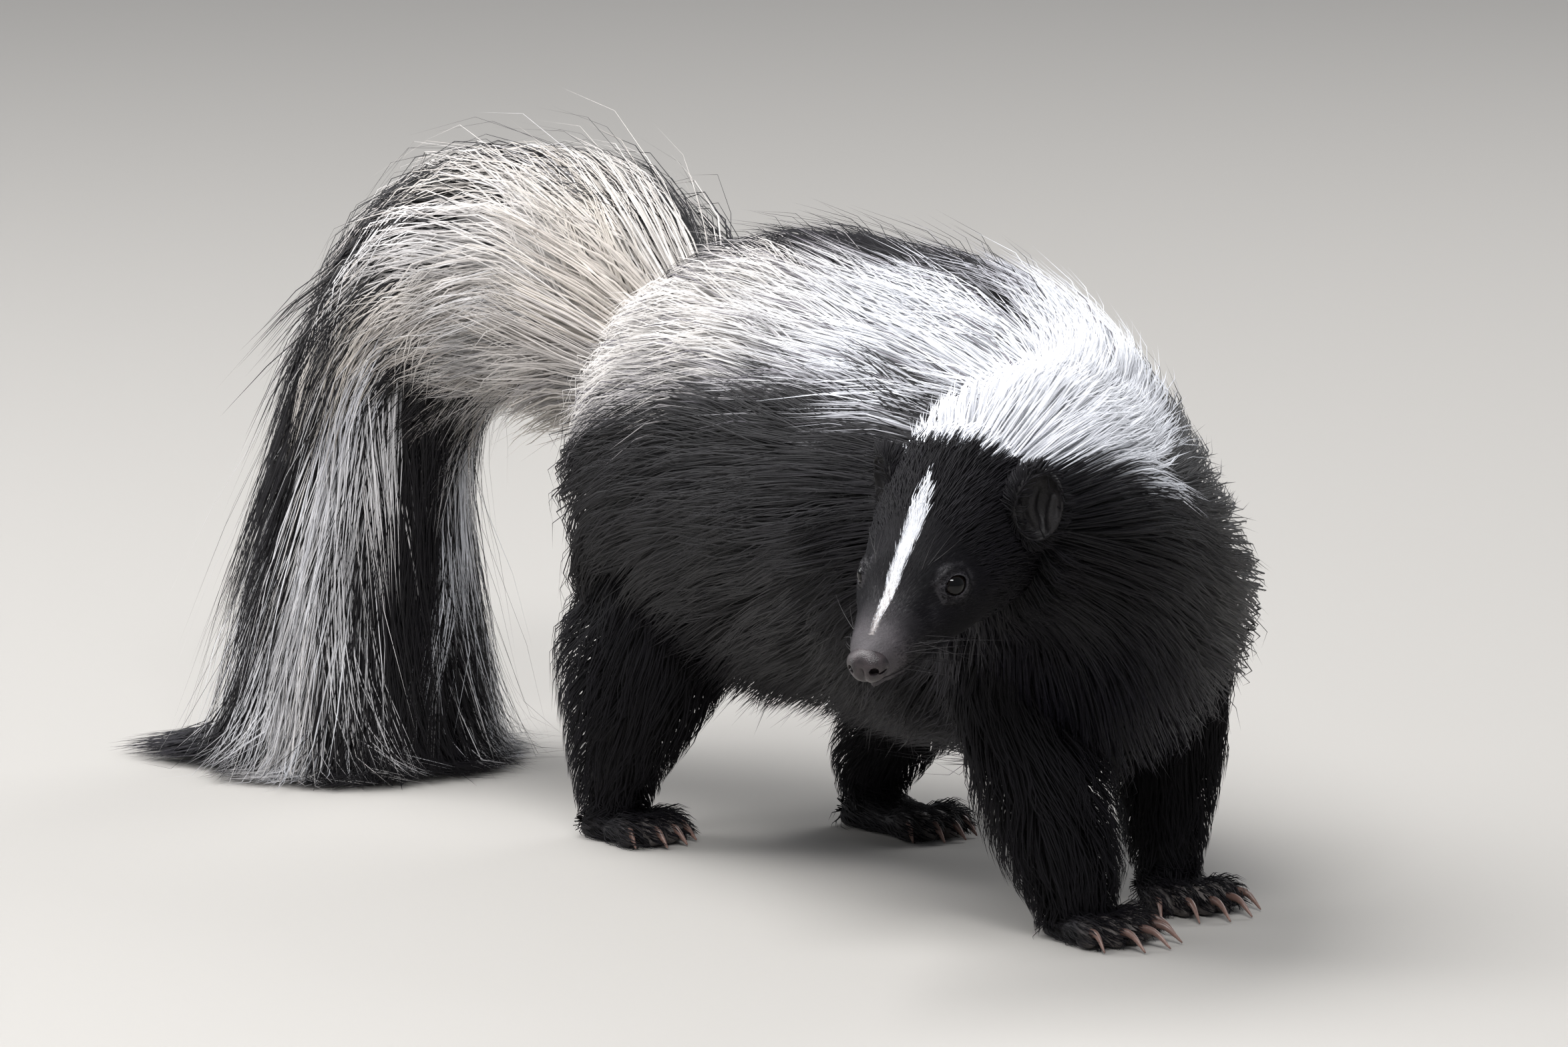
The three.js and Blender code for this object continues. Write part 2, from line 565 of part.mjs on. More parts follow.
// The ear is a round cup open forwards and outwards
function ear(sign, grow) {
  const over = headWay([-0.28, 0.12 * sign, 0.95]);
  const open = headWay([0.72, 0.66 * sign, 0.12]);
  const across = new THREE.Vector3().crossVectors(over, open).normalize();
  const out = new THREE.Vector3().crossVectors(across, over).normalize();
  const at = inHead([EAR.back, sign > 0 ? EAR.left : EAR.right, EAR.rise]);
  const axes = [across, over, out];
  const shell = ellipsoid(at, axes, [EAR.wide + grow, EAR.tall + grow, EAR.deep + grow], 10);
  if (grow) return shell;
  const cup = [EAR.wide - EAR.wall, EAR.tall - EAR.wall, EAR.deep];
  const scoop = ellipsoid(at.clone().addScaledVector(out, EAR.scoop), axes, cup, 10);
  const ridge = rod([
    at.clone().addScaledVector(over, -8).addScaledVector(across, 1.5),
    at.clone().addScaledVector(over, -1).addScaledVector(out, -1).addScaledVector(across, -1.5),
    at.clone().addScaledVector(over, 6).addScaledVector(out, -2).addScaledVector(across, 1),
  ], [1.6, 1.9, 1.2], 5);
  return shell.subtract(scoop).add(ridge.intersect(shell));
}

function nose(grow) {
  const size = NOSE.size.map((half) => half + grow);
  const pad = ellipsoid(inHead(NOSE.at), headAxes, size, 12);
  if (grow) return pad;
  const holes = [1, -1].map((sign) => {
    const way = headWay([0.85, 0.5 * sign, 0.1]);
    const across = new THREE.Vector3().crossVectors(headAxes[2], way).normalize();
    const over = new THREE.Vector3().crossVectors(way, across);
    return ellipsoid(inHead(mirrored(NOSTRIL.at, sign)), [way, across, over], NOSTRIL.size, 6);
  });
  return pad.subtract(joined(holes));
}

function head(grow) {
  const skin = headSkin(grow);
  if (grow) return skin;
  const lips = [lip(MOUTH.lip, MOUTH.lip), lip(-MOUTH.lip, 0.8 * MOUTH.lip)];
  return joined([skin, ...lips, eyelid(1), eyelid(-1)]).subtract(mouthGroove());
}

// A thin white line from the nose to the crown
function blaze(grow) {
  const [first, end] = BLAZE.sections;
  const rings = HEAD_SECTIONS.slice(first, end + 1).map(({ back, side }, i) => {
    const t = i / (end - first);
    const wide = spline(BLAZE.wide, t * (BLAZE.wide.length - 1)) + grow;
    const slide = (t === 0 ? grow : 0) - (t === 1 ? grow : 0);
    const at = (share, high) => headPoint(back, (share * wide) / side, high)
      .addScaledVector(headAxes[0], slide);
    const [top, low] = [BLAZE.proud + grow, BLAZE.proud - BLAZE.thick - grow];
    return [at(-1, top), at(0, top), at(1, top), at(1, low), at(0, low), at(-1, low)];
  });
  return bandLoft(rings);
}

// Feet
function foot(name, grow) {
  const { at, turn, kind } = FEET[name];
  const heading = radians(turn);
  const way = (degrees) => vec([Math.cos(heading + radians(degrees)), Math.sin(heading + radians(degrees)), 0]);
  const place = (forward, left, up) => vec([at[0], at[1], up])
    .addScaledVector(way(0), forward)
    .addScaledVector(way(90), left);
  const { wide, tall } = kind;
  const sole = [
    { f: -kind.back, w: 0.35, h: 0.35 }, { f: -kind.back + 3, w: 0.62, h: 0.8 }, { f: 0, w: 0.8, h: 1 },
    { f: kind.palm * 0.5, w: 0.92, h: 0.72 }, { f: kind.palm, w: 1, h: 0.55 }, { f: kind.palm + 4, w: 0.8, h: 0.4 },
  ];
  const sides = 10;
  const palm = loft(sole.map(({ f, w, h }) => Array.from({ length: sides }, (_, j) => {
    const angle = (2 * Math.PI * j) / sides;
    const middle = 0.45 * tall * h;
    const up = middle + (0.62 * tall * h + grow) * Math.cos(angle);
    return place(f, (wide * w + grow) * Math.sin(angle), up);
  })));
  const pieces = [palm];
  TOE_SPREAD.forEach((spread, i) => {
    const side = (i - 2) / 2;
    const reach = kind.toe * TOE_LENGTH[i];
    const root = place(kind.palm - 3 - 4 * side * side, side * wide * 0.8, 3.4);
    const along = way(spread * 0.8);
    const step = (length, up) => root.clone().addScaledVector(along, length).setZ(up);
    const thick = kind.toeWide + grow;
    pieces.push(rod([root, step(reach * 0.55, 5.6), step(reach + 2.2, 3.2)], [thick, thick * 1.1, thick * 0.5], 5));
    const base = reach + 0.5;
    const claw = kind.claw * TOE_LENGTH[i];
    pieces.push(rod([step(base, 4.2), step(base + claw * 0.5, kind.clawRise), step(base + claw, 0.9 + grow)],
      [1.5, 1.15, 0.3].map((radius) => radius + grow), 4));
  });
  return joined(pieces);
}

// Which piece of the spine's coat a lock belongs to
function insideBand(band, s, angle) {
  if (s < band.from - 0.2 || s > band.to - 0.1) return false;
  const wide = (list) => spline(list, ((s - band.from) / (band.to - band.from)) * (list.length - 1));
  return Math.abs(angle) < wide(band.lower) && (!band.upper || Math.abs(angle) > wide(band.upper));
}

function coatPiece({ s, angle }) {
  if (s < TRUNK_START) return insideBand(NAPE, s, angle) ? "nape" : "neck";
  if (insideBand(STRIPE, s, angle)) return angle > 0 ? "stripe_left" : "stripe_right";
  return "trunk";
}

// Trunk, neck, tail and legs
const spineLocks = lockPlaces(spine, 0.25, 8.8, BODY_LOCK);
const tailLocks = lockPlaces(tail, 0.3, 6.2, TAIL_LOCK);
const legLocks = Object.fromEntries(Object.entries(legs).map(([name, rail]) =>
  [name, lockPlaces(rail, 1.1, 3.1, LEG_LOCK)]));

const grown = (core, places, grow) => joined([core, ...places.map((place) => railLock(place, grow))]);
const ofSpine = (name) => spineLocks.filter((place) => coatPiece(place) === name);

const neck = (grow) => grown(
  railBody(spine, 0, TRUNK_START, LIMB_STEP, BODY_SIDES, CORE_REACH, grow), ofSpine("neck"), grow);
const trunk = (grow) => grown(
  railBody(spine, TRUNK_START - 0.05, TRUNK_END, TRUNK_STEP, BODY_SIDES, CORE_REACH, grow), ofSpine("trunk"), grow);
const stripe = (side, sign) => (grow) => grown(
  railBand(spine, STRIPE, sign, BODY_SIDES, CORE_REACH, grow), ofSpine(`stripe_${side}`), grow);
const nape = (grow) => grown(railBand(spine, NAPE, 1, BODY_SIDES, CORE_REACH, grow), ofSpine("nape"), grow);
const tailArch = (grow) => grown(
  railBody(tail, 0.1, FALL_START, LIMB_STEP, TAIL_SIDES, CORE_REACH, grow),
  tailLocks.filter(({ s }) => s < FALL_START), grow);
const tailFall = (grow) => grown(
  joined([
    railBody(tail, FALL_START - 0.1, 6.9, LIMB_STEP, TAIL_SIDES, CORE_REACH, grow),
    ...TIP_STRANDS.map((strand) => groundLock(strand, grow)),
  ]), tailLocks.filter(({ s }) => s >= FALL_START), grow);
const leg = (name) => (grow) => grown(
  railBody(legs[name], 0, 4, LIMB_STEP, LEG_SIDES, CORE_REACH, grow), legLocks[name], grow);

// Each piece is cut clear of those before it in this list
const PIECES = [
  ...[["left", 1], ["right", -1]].map(([side, sign]) => [`eye_${side}`, (grow) => eye(sign, grow), EYE_GLOSS]),
  ["nose", nose, NOSE_SKIN],
  ["blaze", blaze, WHITE_COAT],
  ["head", head, BLACK_COAT],
  ...[["left", 1], ["right", -1]].map(([side, sign]) => [`ear_${side}`, (grow) => ear(sign, grow), BLACK_COAT]),
  ["nape_white", nape, WHITE_COAT],
  ["neck", neck, BLACK_COAT],
  ["stripe_left", stripe("left", 1), WHITE_COAT],
  ["stripe_right", stripe("right", -1), WHITE_COAT],
  ["trunk", trunk, BLACK_COAT],
  ["tail_arch", tailArch, TAIL_COAT],
  ["tail_fall", tailFall, TAIL_COAT],
  ...Object.keys(FEET).map((name) => [`foot_${name}`, (grow) => foot(name, grow), FOOT_SKIN]),
  ...Object.keys(LEGS).map((name) => [`leg_${name}`, leg(name), BLACK_COAT]),
];

function boxesMeet(a, b) {
  return [0, 1, 2].every((k) => a.min[k] < b.max[k] && b.min[k] < a.max[k]);
}

const ground = toSolid(new THREE.BoxGeometry(FAR, FAR, FAR).translate(0, 0, -FAR / 2));
const skunk = new THREE.Group();
const cutters = [];
for (const [name, make, material] of PIECES) {
  let solid = make(0).subtract(ground);
  for (const neighbour of cutters) {
    if (boxesMeet(solid.boundingBox(), neighbour.boundingBox())) solid = solid.subtract(neighbour);
  }
  const mesh = new THREE.Mesh(toGeometry(largestBody(solid)), material);
  mesh.name = name;
  skunk.add(mesh);
  cutters.push(make(SEAM));
}

// The origin is on the ground under the middle of the whole animal
const extent = new THREE.Box3().setFromObject(skunk);
const middle = extent.getCenter(new THREE.Vector3());
skunk.position.set(-middle.x, -middle.y, 0);

export default skunk;
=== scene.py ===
"""A striped skunk, life size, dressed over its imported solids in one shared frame.

One skin stands for all the nodes of flesh. Over it lies a coat of solid tufts that follow the
same lines as the solids' locks. Eyes, nose, claws and whiskers are pieces of their own.
Lengths in the tables are millimetres in the solids' own working place: +X runs forward along the
trunk, +Y is the animal's left and +Z is up.
"""
import math

import bpy
import numpy as np
from bpy.props import FloatProperty, FloatVectorProperty, IntProperty, PointerProperty
from mathutils import Matrix, Vector
from mathutils.kdtree import KDTree


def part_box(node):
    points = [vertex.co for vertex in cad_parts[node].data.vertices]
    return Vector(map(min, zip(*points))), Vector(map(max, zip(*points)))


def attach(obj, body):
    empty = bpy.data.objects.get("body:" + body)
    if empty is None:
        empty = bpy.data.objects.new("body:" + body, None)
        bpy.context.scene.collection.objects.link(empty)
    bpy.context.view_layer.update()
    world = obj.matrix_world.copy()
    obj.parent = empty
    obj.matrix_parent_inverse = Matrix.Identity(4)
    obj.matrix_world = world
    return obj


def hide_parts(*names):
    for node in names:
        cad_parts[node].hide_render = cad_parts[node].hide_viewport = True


bl_info = {
    "name": "Striped skunk",
    "version": (1, 0, 0),
    "blender": (4, 5, 0),
    "location": "3D View > Sidebar > Skunk",
    "description": "Builds the skin, coat, eyes, nose, claws and stage of a striped skunk",
    "category": "Object",
}

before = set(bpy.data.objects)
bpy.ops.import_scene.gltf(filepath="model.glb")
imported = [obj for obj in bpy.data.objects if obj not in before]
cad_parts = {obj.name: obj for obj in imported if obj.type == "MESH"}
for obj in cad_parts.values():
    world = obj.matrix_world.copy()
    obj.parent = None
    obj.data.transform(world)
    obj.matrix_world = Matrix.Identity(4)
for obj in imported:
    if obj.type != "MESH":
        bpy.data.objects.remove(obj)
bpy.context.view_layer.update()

# ---------------------------------------------------------------- measures of the solids
NOSE_TIP = (151.5, -126.6, 98.7)
HEAD_FORWARD = (0.397, -0.812, -0.429)
HEAD_LEFT = (0.892, 0.451, -0.028)
HEAD_UP = (0.217, -0.371, 0.902)
EYE_AT = (-35, 13.3, 8.4)
EYE_LOOKS = (0.5, 0.8, 0.32)
EAR = {"back": -67.5, "left": 27.0, "right": -20, "rise": 15.6}
NOSE_AT = (-4.4, 0, -0.6)
NOSE_SIZE = (4.5, 6.4, 5.3)

# behind the nose tip, height of the centre, half sizes beside, over and under it, pear
HEAD_SECTIONS = (
    (3.6, 0.1, 5.2, 4.6, 5.6, 0.0),
    (9, 0.6, 7.6, 6.0, 8.6, 0.0),
    (15, 1.0, 9.8, 8.6, 11, 0.03),
    (22, 1.5, 12.6, 11.2, 13.2, 0.08),
    (30, 2.2, 16.0, 14.0, 15.4, 0.12),
    (36, 3.0, 18.4, 15.8, 17.4, 0.15),
    (44, 4.0, 20.0, 18.8, 20.4, 0.18),
    (52, 5.0, 21.8, 21.6, 23.2, 0.18),
    (60, 5.5, 23.4, 24.2, 25.6, 0.16),
    (66, 6.0, 24.6, 25.2, 26.4, 0.13),
    (71, 6.2, 25.0, 25.0, 26.2, 0.1),
    (77, 6.2, 23.0, 22.0, 23.0, 0.1),
    (83, 6.2, 16.0, 15.0, 16.0, 0.1),
)

# centre, half sizes beside, over and under, depth of the coat over, beside and under, pear
SPINE = (
    ((126.6, -70, 131.8), (20, 18, 19), (9, 7, 9), 0.0),
    ((121, -44, 126), (27, 29, 24), (20, 18, 13), 0.2),
    ((108, -20, 110), (30, 40, 33), (22, 16, 17), 0.4),
    ((86, -2, 104), (35, 50, 34), (26, 18, 28), 0.44),
    ((46, 0, 111), (41, 46, 38), (30, 21, 21), 0.25),
    ((0, 0, 118), (45, 39, 42), (31, 23, 21), 0.1),
    ((-44, 0, 119), (44, 36, 43), (32, 24, 23), 0.05),
    ((-80, -1, 114), (39, 33, 40), (32, 25, 22), 0.05),
    ((-108, -3, 110), (25, 26, 28), (27, 25, 21), 0.0),
    ((-121, -4, 108), (8, 10, 10), (22, 22, 20), 0.0),
    ((-129, -4, 107), (2, 2, 2), (10, 10, 10), 0.0),
)
SPINE_FACES = {
    0: HEAD_FORWARD,
    1: (0.50, -0.84, -0.2),
    2: (0.69, -0.72, 0),
    3: (0.88, -0.47, 0.05),
    4: (0.98, -0.17, 0),
}
TAIL = (
    ((-95, -3, 132), (12, 11, 11), (18, 22, 16), 0.0),
    ((-135, -8, 154), (10, 9, 9), (28, 28, 26), 0.0),
    ((-172, -18, 165), (9, 8, 8), (34, 31, 34), 0.0),
    ((-206, -27, 155), (8, 7, 7), (35, 28, 30), 0.0),
    ((-228, -33, 129), (7, 6, 6), (25, 24, 25), 0.0),
    ((-236, -37, 94), (6, 5, 5), (22, 24, 25), 0.0),
    ((-240, -39, 50), (5, 4, 4), (28, 34, 30), 0.0),
    ((-242, -40, 4), (4, 4, 4), (36, 44, 36), 0.0),
)
LEGS = {
    "fore_right": (
        ((92, -28, 104), (14, 18, 15), (7, 6, 7), 0.0),
        ((88, -29, 74), (12, 14, 12), (9, 8, 9), 0.0),
        ((97, -22, 44), (9, 9, 9), (13, 11, 12), 0.0),
        ((102, -17, 22), (8, 8, 8), (11, 9, 10), 0.0),
        ((103, -15, 9), (7, 7, 7), (5, 5, 5), 0.0),
    ),
    "fore_left": (
        ((88, 30, 104), (15, 18, 16), (8, 12, 12), 0.0),
        ((84, 35, 76), (12, 13, 12), (9, 13, 13), 0.0),
        ((79, 36, 46), (8, 9, 8), (8, 10, 9), 0.0),
        ((79, 36, 22), (8, 8, 8), (5, 5, 5), 0.0),
        ((80, 36, 9), (7, 7, 7), (3, 3, 3), 0.0),
    ),
    "hind_right": (
        ((-80, -28, 100), (18, 24, 22), (8, 8, 8), 0.0),
        ((-77, -38, 64), (15, 23, 17), (14, 10, 11), 0.0),
        ((-91, -42, 36), (10, 12, 11), (9, 7, 9), 0.0),
        ((-98, -42, 19), (8, 9, 9), (5, 5, 6), 0.0),
        ((-98, -42, 9), (7, 7, 7), (4, 4, 4), 0.0),
    ),
    "hind_left": (
        ((-70, 28, 100), (18, 24, 22), (8, 8, 8), 0.0),
        ((-46, 36, 64), (14, 18, 15), (10, 9, 10), 0.0),
        ((-54, 33, 36), (10, 11, 10), (8, 7, 8), 0.0),
        ((-66, 32, 19), (8, 8, 8), (5, 5, 5), 0.0),
        ((-66, 32, 9), (7, 7, 7), (3, 3, 3), 0.0),
    ),
}
FORE = {"back": 9, "palm": 14, "wide": 12, "tall": 12, "toe": 10, "toe_wide": 3.3, "claw": 13, "rise": 5}
HIND = {"back": 10, "palm": 24, "wide": 11, "tall": 12, "toe": 9, "toe_wide": 3.1, "claw": 7, "rise": 4}
FEET = {
    "fore_right": ((103, -15), 18, FORE),
    "fore_left": ((80, 36), -4, FORE),
    "hind_right": ((-98, -42), 20, {**HIND, "palm": 14}),
    "hind_left": ((-66, 32), 14, HIND),
}
TOE_SPREAD = (-30, -14, 0, 14, 30)
TOE_LENGTH = (0.72, 0.95, 1, 0.96, 0.8)

# white markings, as degrees down from the ridge between two stations of the spine
NAPE = {"to": 2.37, "lower": (44, 66, 50, 40)}
STRIPE = {"from": 2.3, "to": 8, "upper": (1.5, 5, 13, 14, 12, 12), "lower": (46, 55, 59, 63, 64, 61)}
NECK_END = 2.35
# half widths of the blaze in millimetres, and where it begins and ends behind the nose tip
BLAZE_WIDE = (0.3, 1.4, 2.0, 2.1, 2.2, 0.4)
BLAZE_FROM = 9
BLAZE_TO = 55

# stations between which skin and coat run, and those where one piece hands over to the next; on
# the head they are millimetres behind the nose tip
TRUNK_COAT = (0.02, 9.7)
TRUNK_HALF = 5.2
TAIL_SKIN = 6.95
TAIL_COAT = (0.05, 6.6)
TAIL_HALF = 2.9
LEG_COAT = (0.25, 3.9)
HEAD_COAT = (6.0, 71)
FACE_END = 44

# lengths of hair in millimetres: the shortest and longest, and how wide a lock is
TRUNK_HAIR = (16, 78)
LEG_HAIR = (8, 34)
TAIL_HAIR = 92
TRUNK_LOCK = 9.0
TAIL_LOCK = 8.0
LEG_LOCK = 6.0
TIP_HAIRS = 900  # dark tufts of the tail's end that lie on the ground

# how fine a grid, in millimetres, each bare form is welded on
SKIN_GRID = 2.3
FOOT_GRID = 0.75
HEAD_GRID = 0.62
NOSE_GRID = 0.24

SKIN_REACH = 0.1  # the skin's place in the coat's depth, from 0 to the tips at 1
EAR_SCOOP = (np.array((0, 0.4, 3.3)), (6.7, 10.0, 6.0))  # hollow of the ear: centre and half sizes
LYING = 1.2  # height over the ground of hair that lies on it
SOFT = 0.62  # how far a tuft is lit like the body under it
PLUSH = 0.35  # the same for the short hair
LOOSE = 0.07  # share of the hairs that stand out of the coat
ALL = slice(None)  # every tuft
PATCH = 0.003  # how wide a tuft's patch is on the unwrapped skin
THICK = 0.7  # how thick a tuft is over its half width
CLEAR = 0.15  # how far the tufts stay above the ground
SEED = 41

# the camera: where it looks, how far it stands, its own axes and its lens
VIEW_AT = (-22.2, -31.7, 107)
VIEW_FROM = 4000
VIEW_RIGHT = (0.5736, 0.8192, 0)
VIEW_UP = (-0.1422, 0.0996, 0.9848)
VIEW_BACK = (0.8067, -0.5649, 0.1736)
VIEW_LENS = 306.6

# the stage, in metres: the floor's width, where the lamps point, and for each lamp its name, place,
# width and height, the power that it shares and how much of it
FLOOR = 12
LIT = (0, 0, 0.08)
LAMPS = (
    ("key", (-0.5, -0.6, 1.9), (1.5, 1.5), "key", 1),
    ("side", (-1.6, -1.2, 0.9), (0.9, 0.9), "side", 1),
    ("rim", (-0.4, 1.7, 1.3), (1.0, 1.0), "side", 0.9),
    ("catch", (0.86, -0.61, 1.0), (0.6, 0.2), "side", 0.75),
)

SIDES = (("left", 1), ("right", -1))


# ---------------------------------------------------------------- sums
def unit(v):
    """Vectors of length one."""
    v = np.asarray(v, float)
    return v / np.maximum(np.linalg.norm(v, axis=-1, keepdims=True), 1e-9)


def spline(values, s):
    """A smooth line through evenly spaced values, read at s steps along it."""
    values = np.asarray(values, float)
    s = np.asarray(s, float)
    i = np.clip(np.floor(s).astype(int), 0, len(values) - 2)
    t = s - i
    a, b, c, d = (values[np.clip(i + k, 0, len(values) - 1)] for k in (-1, 0, 1, 2))
    if values.ndim == 2:
        t = t[..., None]
    turn = 2 * a - 5 * b + 4 * c - d
    return 0.5 * (2 * b + (c - a) * t + turn * t * t + (3 * b - a - 3 * c + d) * t**3)


def along(values, share):
    """The same, read at a share of the whole line."""
    return spline(values, share * (len(values) - 1))


def steps(start, end, count):
    return np.linspace(start, end, count + 1)


def circle(count):
    """Angles of even steps once round."""
    return 2 * math.pi * np.arange(count) / count


def grid(first, second):
    return np.meshgrid(first, second, indexing="ij")


def flat_grid(first, second):
    return (rows.ravel() for rows in grid(first, second))


def ease(value, start, wide):
    """From 0 at the start to 1 where the width ends; a width below 0 runs the other way."""
    return np.clip((value - start) / wide, 0, 1)


def hump(value, middle, wide):
    """A soft rise to 1 at the middle."""
    return np.exp(-(((value - middle) / wide) ** 2))


def apart(points, place):
    """How far each point is from a place."""
    return np.linalg.norm(points - place, axis=-1)


def mix(first, second, share):
    return first * (1 - share) + second * share


def lifted(points, least):
    """Points kept at least this high over the ground."""
    points[..., 2] = np.maximum(points[..., 2], least)
    return points


def uneven(dice, count, spread, most=1.5, least=0.5, middle=1):
    """How much longer or shorter each tuft is than it should be."""
    return np.clip(middle + spread * dice.standard_normal(count), least, most)


AXES = unit([HEAD_FORWARD, HEAD_LEFT, HEAD_UP])


def in_head(places):
    """Working millimetres of places given forward, left and up from the nose tip."""
    return np.asarray(NOSE_TIP) + np.asarray(places, float) @ AXES


def head_way(way):
    """A way given forward, left and up on the head."""
    return unit(np.asarray(way, float) @ AXES)


def to_head(points):
    """The other way round: working millimetres to forward, left and up from the nose tip."""
    return (np.asarray(points, float) - np.asarray(NOSE_TIP)) @ AXES.T


# the frame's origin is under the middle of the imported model, and the left eye tells where that is
_low, _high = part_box("eye_left")
SHIFT = np.array((_low + _high) / 2) * 1000 - in_head(EYE_AT)
SHIFT[2] = 0.0


def metres(points):
    return (np.asarray(points, float) + SHIFT) / 1000


def working(points):
    return np.asarray(points, float) * 1000 - SHIFT


class Rail:
    """A part of the body that runs along stations, with the same sections as the solids."""

    def __init__(self, rows, upright=False, faces=None):
        self.at = np.array([row[0] for row in rows], float)
        self.size = np.array([row[1] for row in rows], float)
        self.coat = np.array([[row[2][1], row[2][0], row[2][2]] for row in rows], float)
        self.pear = np.array([row[3] for row in rows], float)
        self.last = len(rows) - 1
        self.upright = upright
        ends = [0, *range(len(rows)), self.last]
        ways = [self.at[ends[i]] - self.at[ends[i + 2]] for i in range(len(rows))]
        for i, way in (faces or {}).items():
            ways[i] = np.array(way, float)
        self.ways = unit(ways)

    def inside(self, s):
        return np.clip(s, 0, self.last)

    def centre(self, s):
        return spline(self.at, self.inside(s))

    def pitch(self, s):
        """Millimetres to one station."""
        s = np.clip(s, 0, self.last - 0.01)
        return np.linalg.norm(self.centre(s + 0.01) - self.centre(s), axis=-1) / 0.01

    def axes(self, s):
        forward = unit(spline(self.ways, self.inside(s)))
        if self.upright:
            left = unit(np.cross((0, 0, 1), forward))
        else:
            left = unit(np.array((0, 1, 0)) - forward * forward[..., 1:2])
        return forward, left, np.cross(forward, left)

    def half(self, s, reach):
        """Half sizes beside, over and under, at a share of the coat's depth."""
        size = spline(self.size, self.inside(s))
        coat = spline(self.coat, self.inside(s))
        return np.moveaxis(size + np.asarray(reach)[..., None] * coat, -1, 0)

    def depth(self, s, angle):
        """Depth of the coat at a station and an angle down from the ridge."""
        coat = spline(self.coat, self.inside(s))
        high = np.cos(angle)
        upright = np.where(high > 0, coat[..., 1], coat[..., 2])
        return coat[..., 0] * (1 - high**2) + upright * high**2

    def point(self, s, angle, reach, more=0.0):
        forward, left, over = self.axes(s)
        side, above, below = self.half(s, reach)
        high = np.cos(angle)
        narrow = 1 - np.maximum(0, high) * spline(self.pear, self.inside(s))
        beyond = np.maximum(0, s - self.last) * self.pitch(self.last)
        across = (side * narrow + more) * np.sin(angle)
        up = (np.where(high > 0, above, below) + more) * high
        place = self.centre(s) - forward * np.asarray(beyond)[..., None]
        return place + left * across[..., None] + over * up[..., None]


spine = Rail(SPINE, True, SPINE_FACES)
tail = Rail(TAIL)
legs = {name: Rail(rows) for name, rows in LEGS.items()}


def head_section(back):
    """Height of the centre, half sizes beside, over and under, and pear, behind the nose tip."""
    places = [section[0] for section in HEAD_SECTIONS]
    s = np.interp(back, places, range(len(places)))
    return np.moveaxis(spline([section[1:] for section in HEAD_SECTIONS], s), -1, 0)


def head_point(back, angle, grow=0.0):
    rise, side, over, under, pear = head_section(back)
    high = np.cos(angle)
    left = (side * (1 - np.maximum(0, high) * pear) + grow) * np.sin(angle)
    up = rise + (np.where(high > 0, over, under) + grow) * high
    return in_head(np.stack(np.broadcast_arrays(-back, left, up), -1))


def face_width(back, height):
    """How far to the side the face reaches at a height."""
    rise, side, over, under, _ = head_section(back)
    share = (height - rise) / np.where(height > rise, over, under)
    return side * np.sqrt(np.maximum(0, 1 - share**2))


def foot_place(name, forward, left, up):
    (x, y), turn, _ = FEET[name]
    a = math.radians(turn)
    ways = np.array([[math.cos(a), math.sin(a), 0], [-math.sin(a), math.cos(a), 0], [0, 0, 1]])
    return np.array((x, y, 0)) + np.stack(np.broadcast_arrays(forward, left, up), -1) @ ways


# ---------------------------------------------------------------- shapes
def apply_modifier(obj, kind, **settings):
    bpy.ops.object.select_all(action="DESELECT")
    obj.select_set(True)
    bpy.context.view_layer.objects.active = obj
    made = obj.modifiers.new(kind.lower(), kind)
    for key, value in settings.items():
        setattr(made, key, value)
    bpy.ops.object.modifier_apply(modifier=made.name)


def place_vertices(obj, points):
    """Puts the vertices at working millimetres, with the object at the origin."""
    obj.matrix_world = Matrix.Identity(4)
    obj.data.vertices.foreach_set("co", metres(points).astype(np.float32).ravel())
    obj.data.update()


def stored(obj):
    co = np.empty(len(obj.data.vertices) * 3, np.float32)
    obj.data.vertices.foreach_get("co", co)
    return co.reshape(-1, 3)


def vertices(obj):
    return working(stored(obj))


def tube(name, rings):
    """A closed skin over rings of points: a grid, wrapped round, sewn up and filled at its ends."""
    rows, sides = rings.shape[:2]
    bpy.ops.object.select_all(action="DESELECT")
    bpy.ops.mesh.primitive_grid_add(x_subdivisions=sides, y_subdivisions=rows - 1, size=1)
    obj = bpy.context.object
    obj.name = name
    place_vertices(obj, np.concatenate([rings, rings[:, :1]], 1).reshape(-1, 3))
    bpy.ops.object.mode_set(mode="EDIT")
    bpy.ops.mesh.select_all(action="SELECT")
    bpy.ops.mesh.remove_doubles(threshold=1e-6)
    bpy.ops.mesh.fill_holes(sides=0)
    bpy.ops.mesh.normals_make_consistent(inside=False)
    bpy.ops.object.mode_set(mode="OBJECT")
    return obj


def ball(name, at, axes, half, segments):
    """An egg of three half sizes along three axes, from a sphere."""
    bpy.ops.object.select_all(action="DESELECT")
    bpy.ops.mesh.primitive_uv_sphere_add(segments=segments, ring_count=segments // 2, radius=1)
    obj = bpy.context.object
    obj.name = name
    shape = (stored(obj) * np.asarray(half)) @ np.asarray(axes)
    place_vertices(obj, shape + np.asarray(at))
    return obj


def rod_rings(points, radii, sides, flat=1.0, lift=(0, 0, 1), rows=12):
    """Rings of a tapering rod through a few points."""
    points = np.asarray(points, float)
    s = steps(0, len(points) - 1, rows)
    middle = spline(points, s)
    radius = np.interp(s / s[-1], np.linspace(0, 1, len(radii)), radii)
    way = unit(np.gradient(middle, axis=0))
    across = unit(np.cross(lift, way))
    over = np.cross(way, across)
    turn = circle(sides)
    ring = across[:, None] * np.cos(turn)[None, :, None]
    ring = ring + flat * over[:, None] * np.sin(turn)[None, :, None]
    return middle[:, None] + radius[:, None, None] * ring


def rod(name, *shape, **more):
    return tube(name, rod_rings(*shape, **more))


